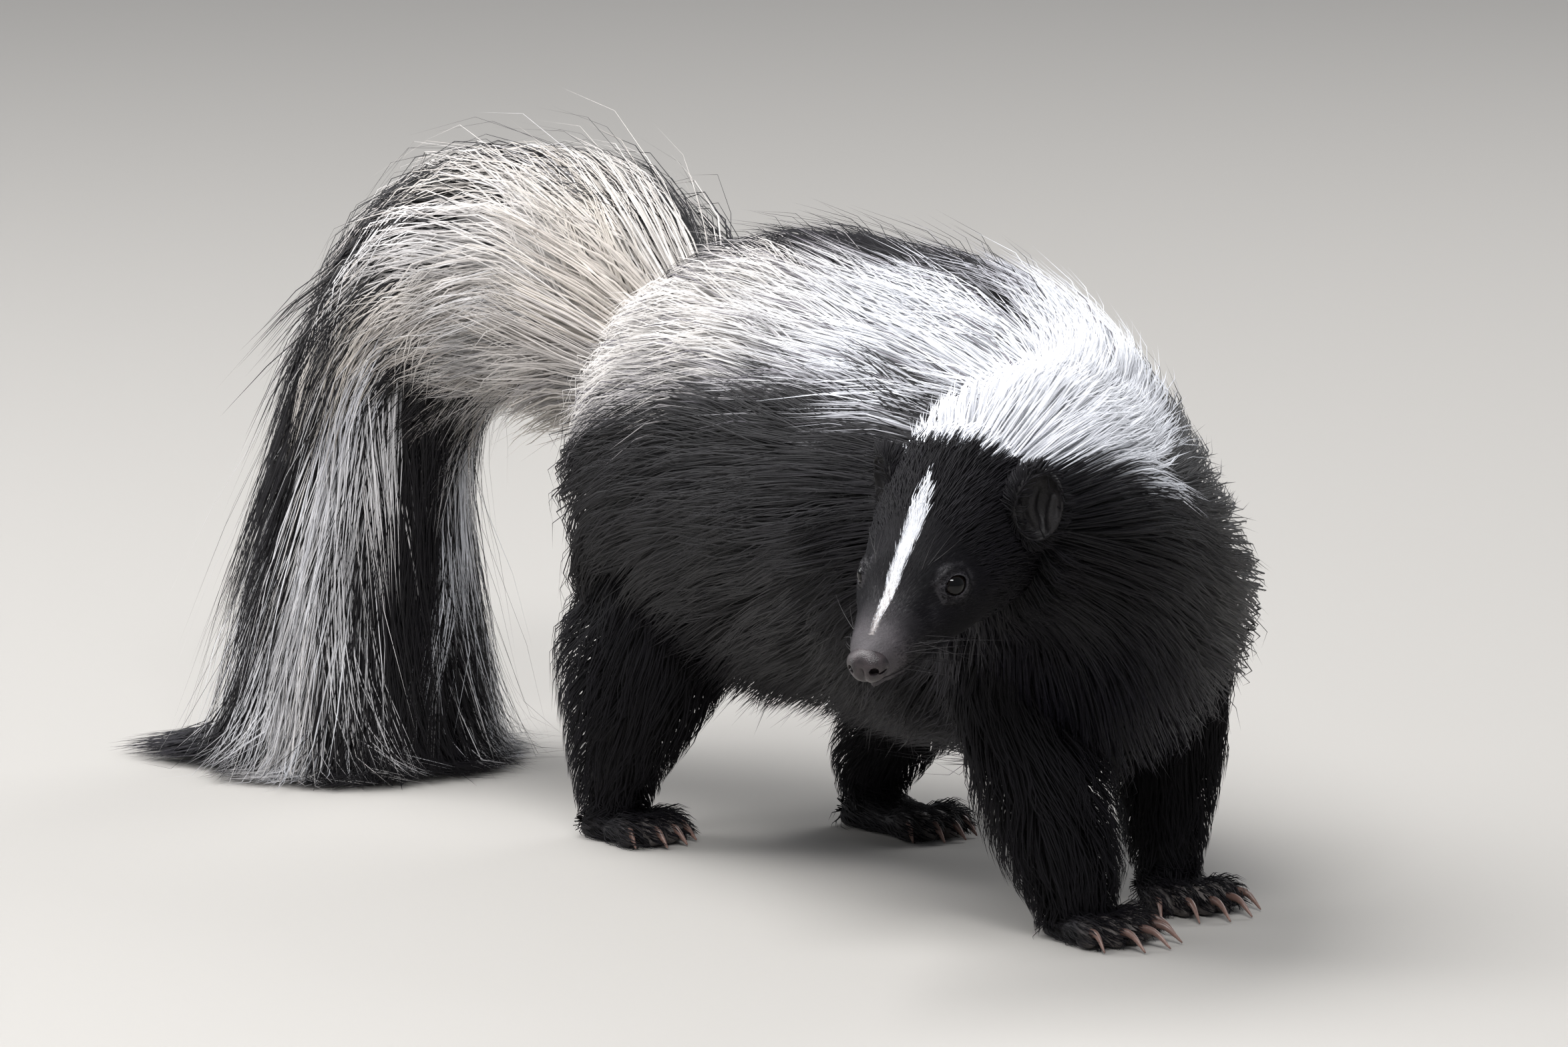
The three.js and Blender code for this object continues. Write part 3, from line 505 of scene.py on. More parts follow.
def join(name, objects):
    bpy.ops.object.select_all(action="DESELECT")
    for obj in objects:
        obj.select_set(True)
    bpy.context.view_layer.objects.active = objects[0]
    bpy.ops.object.join()
    objects[0].name = name
    return objects[0]


def combine(obj, other, operation):
    apply_modifier(obj, "BOOLEAN", operation=operation, object=other, solver="MANIFOLD")
    bpy.data.objects.remove(other)


def weld(obj, voxel, smooth):
    """Turns crossing closed shapes into one skin and softens where they meet."""
    apply_modifier(obj, "REMESH", mode="VOXEL", voxel_size=voxel / 1000)
    apply_modifier(obj, "SMOOTH", factor=0.5, iterations=smooth)


def finish_piece(obj, material, replaced=()):
    obj.data.materials.clear()
    obj.data.materials.append(material)
    obj.data.shade_smooth()
    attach(obj, "root")
    if replaced:
        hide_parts(*replaced)


def paint(obj, name, colours):
    """Colours of a piece's vertices, kept in its mesh."""
    layer = obj.data.color_attributes.new(name, "FLOAT_COLOR", "POINT")
    full = np.ones((len(colours), 4), np.float32)
    full[:, :3] = colours
    layer.data.foreach_set("color", full.ravel())


# ---------------------------------------------------------------- colours and materials
def linear(code):
    """An sRGB hex code as linear red, green and blue."""
    parts = [int(code[i : i + 2], 16) / 255 for i in (1, 3, 5)]
    return tuple(c / 12.92 if c <= 0.04045 else ((c + 0.055) / 1.055) ** 2.4 for c in parts)


def tint(code):
    """The same as an array, for sums."""
    return np.array(linear(code))


def node(tree, kind, settings=None, **inputs):
    """Adds a node with its settings; an input is a value, or another node's output to link."""
    made = tree.nodes.new(kind)
    for key, value in (settings or {}).items():
        setattr(made, key, value)
    for key, value in inputs.items():
        socket = made.inputs[key.replace("_", " ")]
        if isinstance(value, bpy.types.NodeSocket):
            tree.links.new(value, socket)
        else:
            socket.default_value = value
    return made


MADE = {}


def finish_of(maker):
    """A finish is made once and shared by the pieces that have it."""
    if maker not in MADE:
        MADE[maker] = maker()
    return MADE[maker]


def new_material(name):
    made = bpy.data.materials.new(name)
    made.use_nodes = True
    made.node_tree.nodes.clear()
    return made, made.node_tree


def pattern(tree, kind, scale, read, **more):
    """A texture over the object's own metres, about scale times to each."""
    place = node(tree, "ShaderNodeTexCoord").outputs["Object"]
    return node(tree, kind, None, Vector=place, Scale=scale, **more).outputs[read]


def noise(tree, scale, detail, **more):
    return pattern(tree, "ShaderNodeTexNoise", scale, "Fac", Detail=detail, **more)


def painted(tree, name, mottle, low, high):
    """The colour that a piece carries under this name, made lighter and darker by a texture."""
    colour = node(tree, "ShaderNodeAttribute", {"attribute_name": name})
    tone = node(tree, "ShaderNodeMapRange", Value=mottle, From_Min=0.3, From_Max=0.7, To_Min=low, To_Max=high)
    shade = node(
        tree, "ShaderNodeHueSaturation", Color=colour.outputs["Color"], Value=tone.outputs["Result"])
    return shade.outputs["Color"]


def ramp(tree, factor, stops):
    """A colour ramp of (place, hex code) stops."""
    made = node(tree, "ShaderNodeValToRGB", Fac=factor)
    bar = made.color_ramp
    while len(bar.elements) < len(stops):
        bar.elements.new(0.5)
    for element, (place, code) in zip(bar.elements, stops):
        element.position = place
        element.color = (*linear(code), 1)
    return made.outputs["Color"]


def bumps(tree, height, strength, deep, invert=False):
    made = node(
        tree, "ShaderNodeBump", {"invert": invert}, Height=height, Strength=strength, Distance=deep)
    return made.outputs["Normal"]


def finished(made, tree, colour, rough, ior, **more):
    """Ends a material in its surface: a colour, how rough it is and how much it bends light."""
    skin = node(tree, "ShaderNodeBsdfPrincipled", Base_Color=colour, Roughness=rough, IOR=ior, **more)
    node(tree, "ShaderNodeOutputMaterial", Surface=skin.outputs["BSDF"])
    return made


def coat_material():
    """Guard hair: keratin strands, smooth along their length, so each tuft has a soft line of light
    and the coat a satin streak where many lie the same way."""
    return hair_material("guard_hair", 0.46, 0.27)


def face_material():
    """Short face hair: the same keratin, but too fine and upright to shine, so it looks like plush."""
    return hair_material("face_hair", 0.6, 0.12)


def hair_material(name, rough, shine):
    made, tree = new_material(name)
    # locks of hair differ a little in tone every 14 mm or so
    colour = painted(tree, "Coat", noise(tree, 70.0, 3.0), 0.8, 1.2)
    return finished(made, tree, colour, rough, 1.55, Specular_IOR_Level=shine)


def skin_material():
    """Thin skin under short hair: dull, dark and finely pored, pinker on the toes."""
    made, tree = new_material("skin")
    colour = painted(tree, "Marking", noise(tree, 260.0, 4.0), 0.75, 1.25)
    # pores and hair roots 0.6 mm apart
    pores = bumps(tree, noise(tree, 1600.0, 2.0), 0.5, 0.0004)
    return finished(made, tree, colour, 0.62, 1.4, Normal=pores)


def nose_material():
    """Bare nose leather: pebbled 0.3 mm apart and damp, so it glints in small points."""
    made, tree = new_material("nose_leather")
    pebbles = pattern(tree, "ShaderNodeTexVoronoi", 2900.0, "Distance")
    stain = noise(tree, 320.0, 3.0)
    colour = ramp(tree, stain, ((0.35, "#231f21"), (0.6, "#383133"), (0.8, "#50484a")))
    return finished(made, tree, colour, 0.36, 1.45, Normal=bumps(tree, pebbles, 0.4, 0.0002, True))


def eye_material():
    """A dark brown eye under a wet cornea, whose water film mirrors a lamp in one sharp spot."""
    made, tree = new_material("wet_eye")
    gaze = node(tree, "ShaderNodeAttribute", {"attribute_name": "Gaze"})
    mixed = node(tree, "ShaderNodeMath", {"operation": "MULTIPLY_ADD"})
    tree.links.new(noise(tree, 1400.0, 2.0), mixed.inputs[0])
    mixed.inputs[1].default_value = 0.05
    tree.links.new(gaze.outputs["Fac"], mixed.inputs[2])
    # pupil, the iris with its fibres, and its dark rim
    colour = ramp(tree, mixed.outputs["Value"], (
        (0.0, "#020202"), (0.3, "#030303"), (0.38, "#0d0806"), (0.58, "#0a0605"), (0.66, "#040303")))
    return finished(made, tree, colour, 0.04, 1.34)


def claw_material():
    """Horn: translucent keratin grown in layers, paler and glossier to its worn tip."""
    made, tree = new_material("horn")
    # growth lines about 0.5 mm apart
    grain = noise(tree, 900.0, 3.0, Distortion=0.4)
    colour = painted(tree, "Marking", grain, 0.8, 1.15)
    return finished(made, tree, colour, 0.38, 1.54, Subsurface_Weight=0.15,
                    Subsurface_Radius=(0.002, 0.001, 0.0006), Normal=bumps(tree, grain, 0.3, 0.0002))


def floor_material():
    """Matt painted board, pale and plain, with a trace of grain so it isn't dead flat."""
    made, tree = new_material("matt_board")
    grain = bumps(tree, noise(tree, 900.0, 2.0), 0.1, 0.0002)
    return finished(made, tree, (*linear("#a6a39f"), 1), 0.85, 1.5, Normal=grain)


# ---------------------------------------------------------------- markings
def spine_white(s, angle, shift=0.0):
    """How many degrees a place lies inside the white; shift is a tuft's own unevenness."""
    turn = np.degrees(np.abs(angle))
    nape = along(NAPE["lower"], np.clip(s / NAPE["to"], 0, 1))
    share = ease(s, STRIPE["from"], STRIPE["to"] - STRIPE["from"])
    lower = along(STRIPE["lower"], share)
    upper = along(STRIPE["upper"], share)
    # the black wedge reaches a little further over the ridge
    upper = upper + 10 * (angle > 0) * ease(s, 2.9, 0.6)
    lower = np.where(s > STRIPE["to"], lower - 30 * (s - STRIPE["to"]), lower)
    inside = np.where(s < NECK_END, nape - turn, np.minimum(lower - turn, turn - upper))
    return inside + shift


def head_white(back, angle, shift=0.0):
    """How many millimetres a place of the head lies inside the white."""
    side = head_section(back)[1]
    across = np.abs(angle) * side
    share = (back - BLAZE_FROM) / (BLAZE_TO - BLAZE_FROM)
    wide = along(BLAZE_WIDE, np.clip(share, 0, 1))
    blaze = np.where((share > 0) & (share < 1), wide - across, -9)
    turn = np.degrees(np.abs(angle))
    crown = np.minimum(back - 64.5 - 5 * (turn / 40) ** 2, (54 - turn) * 0.4)
    return np.maximum(blaze, crown) + shift


def tail_white(s, angle):
    """The chance that a lock of the tail is white."""
    turn = np.degrees(angle)
    base = np.where(np.abs(turn - 32) < 24, 0.12, 0.97)
    arch = 0.97 - 0.4 * hump(turn, -10, 42) - 0.12 * hump(turn, -165, 30)
    # down the fall, white strands and a grey rim in front of a black core
    places = (-180, -134, -126, -96, -88, -60, -35, 40, 75, 118, 126, 144, 150, 180)
    chances = (0.02, 0.03, 0.85, 0.85, 0.15, 0.15, 0.4, 0.4, 0.5, 0.5, 0.6, 0.55, 0.03, 0.02)
    fall = np.interp(turn, places, chances)
    return mix(mix(base, arch, ease(s, 0.9, 0.8)), fall, ease(s, 1.6, 0.9))


def tail_below(s, angle):
    """How far a place of the tail lies on the underside of its arch, from 0 to 1."""
    beside = (np.degrees(angle) + 165 + 180) % 360 - 180
    return hump(beside, 0, 38) * hump(s, 2.1, 1.0)


def tail_lean(s, angle):
    """How many degrees the tail's hair turns off the rail: under the arch, to the photo's left."""
    return 15 * tail_below(s, angle)


# ---------------------------------------------------------------- the coat
def blades(name, tufts, chosen, taper, material, thick=THICK, soft=SOFT):
    """One mesh of closed three-sided tufts, of those that are chosen. tufts are their paths as
    [tuft, ring, xyz] with the tip as last ring, the ways out of the coat, half widths, colours as
    [tuft, ring, rgb], and the places of their roots on the unwrapped skin."""
    path, out, wide, colours, uv = (rows[chosen] for rows in tufts)
    count, rings = path.shape[0], path.shape[1] - 1
    way = unit(np.gradient(path, axis=1))
    across = unit(np.cross(out, way))
    up = np.cross(way, across)[:, :rings]
    across = across[:, :rings]
    taper = np.asarray(taper)[:rings]
    half = (wide[:, None] * taper)[..., None]
    high = ((wide * thick)[:, None] * taper)[..., None]
    body = path[:, :rings]
    low = up * high * 0.5
    corners = np.stack([body + across * half - low, body + up * high, body - across * half - low], 2)
    points = np.concatenate([corners.reshape(count, rings * 3, 3), path[:, rings:]], 1)
    lifted(points, CLEAR)
    faces = [(0, 2, 1)]
    for i in range(rings - 1):
        for j in range(3):
            a, b = 3 * i + j, 3 * i + (j + 1) % 3
            faces += [(a, b, a + 3), (b, b + 3, a + 3)]
    faces += [(3 * rings - 3 + j, 3 * rings - 3 + (j + 1) % 3, 3 * rings) for j in range(3)]
    per = rings * 3 + 1
    index = (np.array(faces) + per * np.arange(count)[:, None, None]).reshape(-1)
    mesh = bpy.data.meshes.new(name)
    mesh.vertices.add(count * per)
    mesh.vertices.foreach_set("co", metres(points).astype(np.float32).ravel())
    mesh.loops.add(len(index))
    mesh.loops.foreach_set("vertex_index", index.astype(np.int32))
    mesh.polygons.add(len(index) // 3)
    mesh.polygons.foreach_set("loop_start", np.arange(0, len(index), 3, dtype=np.int32))
    mesh.update(calc_edges=True)
    obj = bpy.data.objects.new(name, mesh)
    bpy.context.scene.collection.objects.link(obj)
    tints = np.concatenate([np.repeat(colours[:, :rings], 3, 1), colours[:, rings:]], 1)
    paint(obj, "Coat", tints.reshape(-1, 3))
    # each tuft is a patch of its own at its root's place on the unwrapped skin
    column = np.concatenate([np.tile([0.0, PATCH / 2, PATCH], rings), [PATCH / 2]])
    row = np.concatenate([np.repeat(np.arange(rings), 3), [rings]]) * PATCH / rings
    spots = np.clip(uv, 0.0, 1 - PATCH)[:, None] + np.stack([column, row], -1)
    layer = mesh.uv_layers.new(name="OFBake")
    layer.data.foreach_set("uv", spots.reshape(-1, 2)[index].astype(np.float32).ravel())
    finish_piece(obj, material)
    # the light falls on the tufts much as on the body under them, as it does on fine hair
    low = out[:, :rings] * soft - up * 0.1
    beside = across * (1 - soft)
    sides = np.stack([low + beside, out[:, :rings] * soft + up * (1 - soft), low - beside], 2)
    shade = unit(np.concatenate([sides.reshape(count, rings * 3, 3), out[:, rings:]], 1))
    mesh.normals_split_custom_set_from_vertices(shade.reshape(-1, 3).astype(np.float32))


def scatter(rail, ends, count, dice, weight=None):
    """Roots spread evenly over a length of a rail, as stations and angles."""
    start, end = ends
    rows, columns = 160, 96
    s = start + (end - start) * (np.arange(rows) + 0.5) / rows
    a = -math.pi + 2 * math.pi * (np.arange(columns) + 0.5) / columns
    s, a = grid(s, a)
    side, over, under = rail.half(s, np.full(s.shape, 0.4))
    round_it = np.hypot(side * np.cos(a), np.where(np.cos(a) > 0, over, under) * np.sin(a))
    area = rail.pitch(s) * round_it
    if weight is not None:
        area = area * weight(s, a)
    total = np.cumsum(area.ravel())
    mark = (np.arange(count) + dice.random(count)) / count * total[-1]
    cell = np.minimum(np.searchsorted(total, mark), len(total) - 1)
    found = start + (end - start) * (cell // columns + dice.random(count)) / rows
    return found, -math.pi + 2 * math.pi * (cell % columns + dice.random(count)) / columns


def lie_on_rail(rail, s, angle, long, turn, sweep, root, tip, rings):
    """Centre lines of tufts that rise out of the skin and lie back along a rail. sweep says how
    many degrees they turn down off the rail at a station and an angle."""
    t = steps(0, 1, rings)
    sign = np.sign(angle)
    down = turn + sign * np.radians(sweep(s, angle)) * np.sin(np.abs(angle)) ** 2
    side, over, under = rail.half(s, np.full(len(s), 0.8))
    around = (side + (over + under) / 2) / 2
    far = long[:, None] * t
    angles = angle[:, None] + np.sin(down)[:, None] * far / around[:, None]
    station = s[:, None] + np.cos(down)[:, None] * far / rail.pitch(s)[:, None]
    reach = root + (tip[:, None] - root) * (1 - (1 - t) ** 2)
    return rail.point(station, angles, reach), rail.point(station, angles, reach, 1.0)


def owners(roots, centres):
    """Which lock each tuft belongs to."""
    tree = KDTree(len(centres))
    for i, centre in enumerate(centres):
        tree.insert(centre, i)
    tree.balance()
    return np.array([tree.find(root)[1] for root in roots])


def settle(path, middle, dice):
    """Hair that reaches the ground turns outward and lies on it."""
    fall = np.maximum(0, LYING - path[..., 2])
    out = path - middle
    out[..., 2] = 0
    path = path + unit(out) * fall[..., None] * 0.8
    heap = LYING + 4.0 * dice.random(path.shape[0])[:, None] * (fall > 0)
    path[..., 2] = np.where(fall > 0, heap, path[..., 2])
    return path


def nothing(s, angle):
    """Zero at every place of a rail."""
    return 0 * s


def gathered(rail, s, angle, long, root, tip, rings, lock, dice, pull, wave, sweep=nothing, droop=0.0,
             loose=False, stray=lambda s: 7, lean=nothing, stiff=0.0):
    """Tufts on a rail, drawn together in locks that share a wave. droop is how far the tips sink,
    loose hairs keep out of the locks, lean is how many degrees a lock turns off the rail, and stray
    is how far it may differ from that. stiff tufts keep more of the way that they start in. Gives
    paths, outs and the number of each tuft's lock."""
    count = len(s)
    start, end = s.min(), s.max()
    grown = rail.point(s, angle, np.full(count, SKIN_REACH))
    spread = rail.pitch(np.linspace(start, end, 60)).mean() * (end - start)
    side = rail.half(np.linspace(start, end, 60), np.full(60, 0.2))[0].mean()
    number = max(8, int(spread * 2 * math.pi * side / lock**2))
    # the locks' own lines, each as long as its tufts are on the whole
    cs, ca = scatter(rail, (start, end), number, dice)
    owner = owners(grown, rail.point(cs, ca, np.full(number, SKIN_REACH)))
    share = np.maximum(1, np.bincount(owner, None, number))
    mean = np.bincount(owner, long, number) / share
    mean = np.where(mean > 0, mean, long.mean())
    lock_tip = np.bincount(owner, tip, number) / share
    lock_tip = np.where(lock_tip > 0, lock_tip, tip.mean()) + 0.07 * dice.standard_normal(number)
    lock_turn = np.radians(stray(cs) * dice.standard_normal(number) + lean(cs, ca))
    lines, _ = lie_on_rail(rail, cs, ca, mean, lock_turn, sweep, root, lock_tip, rings)
    # the tufts, which come nearer to their lock's line towards their tips
    turn = lock_turn[owner] + np.radians(4) * dice.standard_normal(count)
    path, out = lie_on_rail(rail, s, angle, long, turn, sweep, root, tip, rings)
    out = unit(out - path)
    t = steps(0, 1, rings)
    pulled = pull * np.clip(0.6 + 0.5 * dice.random(count), 0, 1) * np.where(loose, 0.15, 1)
    path = path + (lines[owner] - path) * (pulled[:, None] * t**1.4)[..., None]
    # a wave that the lock shares, and a smaller bend of each tuft
    way = unit(path[:, 1:2] - path[:, :1])
    across = np.cross(out, way)
    phase = 2 * math.pi * dice.random(number)[owner]
    swing = wave * np.sin(phase[:, None] + 2 * math.pi * t[None] * 0.9) * t[None]
    own = wave * 0.5 * dice.standard_normal(count)[:, None] * t[None] ** 2
    path = path + across * (swing + own)[..., None]
    straight = path[:, :1] + way * long[:, None, None] * t[None, :, None]
    path = path + (straight - path) * (stiff * dice.random(number)[owner] ** 1.5)[:, None, None]
    path[..., 2] -= np.reshape(droop, (-1, 1)) * t[None] ** 2
    path = settle(path, rail.centre(np.array(float(rail.last))), dice)
    return path, out, owner


def shades(root, tip, rings, dice, spread):
    """Colours down each tuft, from root to tip, each tuft a little lighter or darker."""
    t = steps(0, 1, rings)[None, :, None]
    tone = np.exp(spread * (dice.standard_normal(len(root)) - 0.5))[:, None, None]
    return np.clip(mix(root[:, None], tip[:, None], t) * tone, 0, 1)


def plain_black(coat, paler, count, rings, dice, spread=0.2):
    """Black hair, with tips so many times as pale as those of the trunk."""
    root = np.tile(coat.black, (count, 1))
    return shades(root, np.tile(coat.black_tip, (count, 1)) * paler, rings, dice, spread)


def two(first, second, chosen):
    """Rows of the first colour where chosen, else of the second."""
    return np.where(np.asarray(chosen)[:, None], np.asarray(first), np.asarray(second))


def wrapped(angle, share, wide=0.997):
    """Places on the unwrapped skin: across it for the angle, and up it for the share of the length."""
    return np.stack([(angle / (2 * math.pi) + 0.5) * wide, share * 0.99], -1)


def with_strays(tip, dice, under, under_reach, loose_reach):
    """Sinks some tufts into the coat and lets a few hairs stand out of it; says which are loose."""
    sunk = dice.random(len(tip)) < under
    tip = np.where(sunk, under_reach[0] + under_reach[1] * dice.random(len(tip)), tip)
    loose = dice.random(len(tip)) < LOOSE
    return np.where(loose, tip + loose_reach[0] + loose_reach[1] * dice.random(len(tip)), tip), loose


# ---------------------------------------------------------------- what a user may change
def count_of(name, what, default):
    return IntProperty(name=name, description=what, default=default, min=0)


def width_of(name, what, default):
    return FloatProperty(name=name, description=what, default=default, unit="LENGTH", precision=5)


def colour_of(name, what, code):
    return FloatVectorProperty(name=name, description=what, subtype="COLOR", default=linear(code))


def power_of(name, what, default):
    return FloatProperty(name=name, description=what, default=default, unit="POWER")


class SkunkCoat(bpy.types.PropertyGroup):
    """Numbers, sizes and colours of the coat's tufts."""

    trunk_tufts: count_of("Trunk tufts", "Tufts of neck and trunk", 41500)
    tail_tufts: count_of("Tail tufts", "Tufts of the tail", 17000)
    leg_tufts: count_of("Leg tufts", "Tufts of the four legs", 10000)
    face_tufts: count_of("Face tufts", "Short tufts of head, ears and feet", 24000)
    tuft_width: width_of("Tuft width", "Half width of a tuft of the trunk", 0.00034)
    tail_width: width_of("Tail tuft width", "Half width of a tuft of the tail", 0.00034)
    face_width: width_of("Face tuft width", "Half width of a tuft of the face", 0.0002)
    length: FloatProperty(name="Length", description="Tuft length over the coat's depth", default=2.35)
    black: colour_of("Black", "Black hair", "#0b0a0d")
    black_tip: colour_of("Black tips", "Tips of black hair", "#161419")
    white: colour_of("White", "White hair of the nape", "#f4f6fd")
    cream: colour_of("Cream", "Yellowed hair of back and tail", "#cfc4b6")
    grey: colour_of("Grey", "Mixed hair at the edges of the white", "#77737a")


class SkunkFace(bpy.types.PropertyGroup):
    """Sizes of eyes, whiskers and claws."""

    eye_radius: width_of("Eye radius", "Radius of the eyeball", 0.0047)
    eye_open: width_of("Eye opening", "Half width between the corners of the lids", 0.0038)
    whiskers: count_of("Whiskers", "Whiskers on each side", 13)
    claw_width: width_of("Claw width", "Half width of a claw at its root", 0.00115)


class SkunkStage(bpy.types.PropertyGroup):
    """The light round the model."""

    key: power_of("Key", "Power of the big light overhead", 60.0)
    side: power_of("Side", "Power of the light from the left", 16.0)
    room: FloatProperty(name="Room", description="Strength of the light from all round", default=0.38)


# ---------------------------------------------------------------- the stage
class SKUNK_OT_stage(bpy.types.Operator):
    """Camera, floor and soft studio light."""

    bl_idname = "skunk.stage"
    bl_label = "Stage"

    def execute(self, context):
        values = context.scene.skunk_stage
        data = bpy.data.cameras.new("camera")
        data.sensor_width = 36
        data.lens = VIEW_LENS
        data.clip_start = 0.1
        data.clip_end = 30
        camera = bpy.data.objects.new("camera", data)
        context.scene.collection.objects.link(camera)
        turn = Matrix((VIEW_RIGHT, VIEW_UP, VIEW_BACK)).transposed().to_4x4()
        place = Vector(metres(VIEW_AT) + np.array(VIEW_BACK) * VIEW_FROM / 1000)
        camera.matrix_world = Matrix.Translation(place) @ turn
        context.scene.camera = camera

        bpy.ops.object.select_all(action="DESELECT")
        bpy.ops.mesh.primitive_plane_add(size=FLOOR, location=(0, 0, 0))
        floor = context.object
        floor.name = "floor"
        floor.data.materials.append(finish_of(floor_material))

        for name, at, size, kind, share in LAMPS:
            light = bpy.data.lights.new(name, "AREA")
            light.energy = getattr(values, kind) * share
            light.shape = "RECTANGLE"
            light.size, light.size_y = size
            lamp = bpy.data.objects.new(name, light)
            context.scene.collection.objects.link(lamp)
            lamp.location = at
            way = Vector(LIT) - lamp.location
            lamp.rotation_euler = way.to_track_quat("-Z", "Y").to_euler()
        world = bpy.data.worlds.new("room")
        world.use_nodes = True
        glow = world.node_tree.nodes["Background"].inputs
        glow["Color"].default_value = (*linear("#dfe3ea"), 1)
        glow["Strength"].default_value = values.room
        context.scene.world = world
        context.scene.view_settings.view_transform = "Standard"
        return {"FINISHED"}


# ---------------------------------------------------------------- the skin
# pushes of the bare head: place forward, left and up, how wide, how far out
HEAD_FORMS = (
    ((-31, 9.5, 15.5), 5.5, 1.3),
    ((-26, 11.5, 7.0), 4.5, -1.1),
    ((-43, 20, -3), 11, 1.2),
    ((-11.5, 7.5, -2.5), 5.0, 1.1),
    ((-22, 4.0, 12), 6, -0.7),
    ((-13, 6.0, -9.5), 4.5, -0.6),
    ((-20, 10.5, -11), 5, -0.8),
)


def shape_head(points):
    """Brow, cheek, muzzle and chin, as soft pushes out of or into the plain head."""
    place = to_head(points)
    rise = head_section(-place[:, 0])[0]
    out = place.copy()
    out[:, 0] = 0
    out[:, 2] -= rise
    out = unit(out)
    for (forward, left, up), wide, push in HEAD_FORMS:
        for _, sign in SIDES:
            off = place - np.array((forward, left * sign, up))
            weight = np.exp(-(off**2).sum(1) / wide**2)
            place = place + out * (push * weight)[:, None]
    return in_head(place)


def coat_depth(back):
    """How far the bare head lies inside the solid head."""
    return np.interp(back, (0, 12, 30, 50, 71), (0.2, 0.4, 0.9, 2.0, 3.5))


def mouth_line():
    """Where the lips meet, from the left corner round the front to the right corner."""
    t = np.array((1, 0.82, 0.62, 0.42, 0.24, 0.1))
    back = 5.2 + 21.8 * t
    height = -6.9 + 2.6 * t**3
    half = np.stack([-back, face_width(back, height), height], -1)
    front = np.array([[-4.8, 0, -7.0]])
    return np.concatenate([half, front, half[::-1] * (1, -1, 1)])


def eye_axes(sign):
    out = head_way((EYE_LOOKS[0], EYE_LOOKS[1] * sign, EYE_LOOKS[2]))
    back = head_way((-1, 0, -0.12))
    across = unit(back - out * (back @ out))
    return across, np.cross(out, across), out


def eye_centre(sign):
    # the far eye lies a little nearer the bridge, as the photo's face hides it
    left = EYE_AT[1] if sign > 0 else 2.2 - EYE_AT[1]
    return in_head((EYE_AT[0], left, EYE_AT[2]))


def ear_axes(sign):
    over = head_way((-0.28, 0.12 * sign, 0.95))
    opens = head_way((0.72, 0.66 * sign, 0.12))
    across = unit(np.cross(over, opens))
    return across, over, unit(np.cross(across, over))


def ear_centre(sign):
    return in_head((EAR["back"], EAR["left"] if sign > 0 else EAR["right"], EAR["rise"]))


def make_ear(sign):
    """A round cup with a thick rim, a fold at its front edge and ridges inside."""
    axes = np.array(ear_axes(sign))
    at = ear_centre(sign)
    shell = ball("ear", at, axes, (8.2, 11.6, 5.8), 40)
    scoop = ball("scoop", at + EAR_SCOOP[0] @ axes, axes, EAR_SCOOP[1], 40)
    combine(shell, scoop, "DIFFERENCE")
    ridges = (
        ([(1.5, -8, -1), (-1.5, -1, -2.0), (1.0, 6, -2.4)], [1.6, 1.9, 1.0]),
        ([(5.0, -8, 1.2), (4.4, -3, 0.4), (4.8, 3, 0.2)], [1.7, 1.6, 0.7]),
        ([(-4.4, -9, 0.5), (-4.6, -5, 0.2), (-5.0, 1, 0.5)], [1.5, 1.3, 0.6]),
    )
    parts = [shell]
    for places, radii in ridges:
        points = [at + np.array(place) @ axes for place in places]
        parts.append(rod("ridge", points, radii, 10, lift=axes[2], rows=10))
    return join("ear", parts)


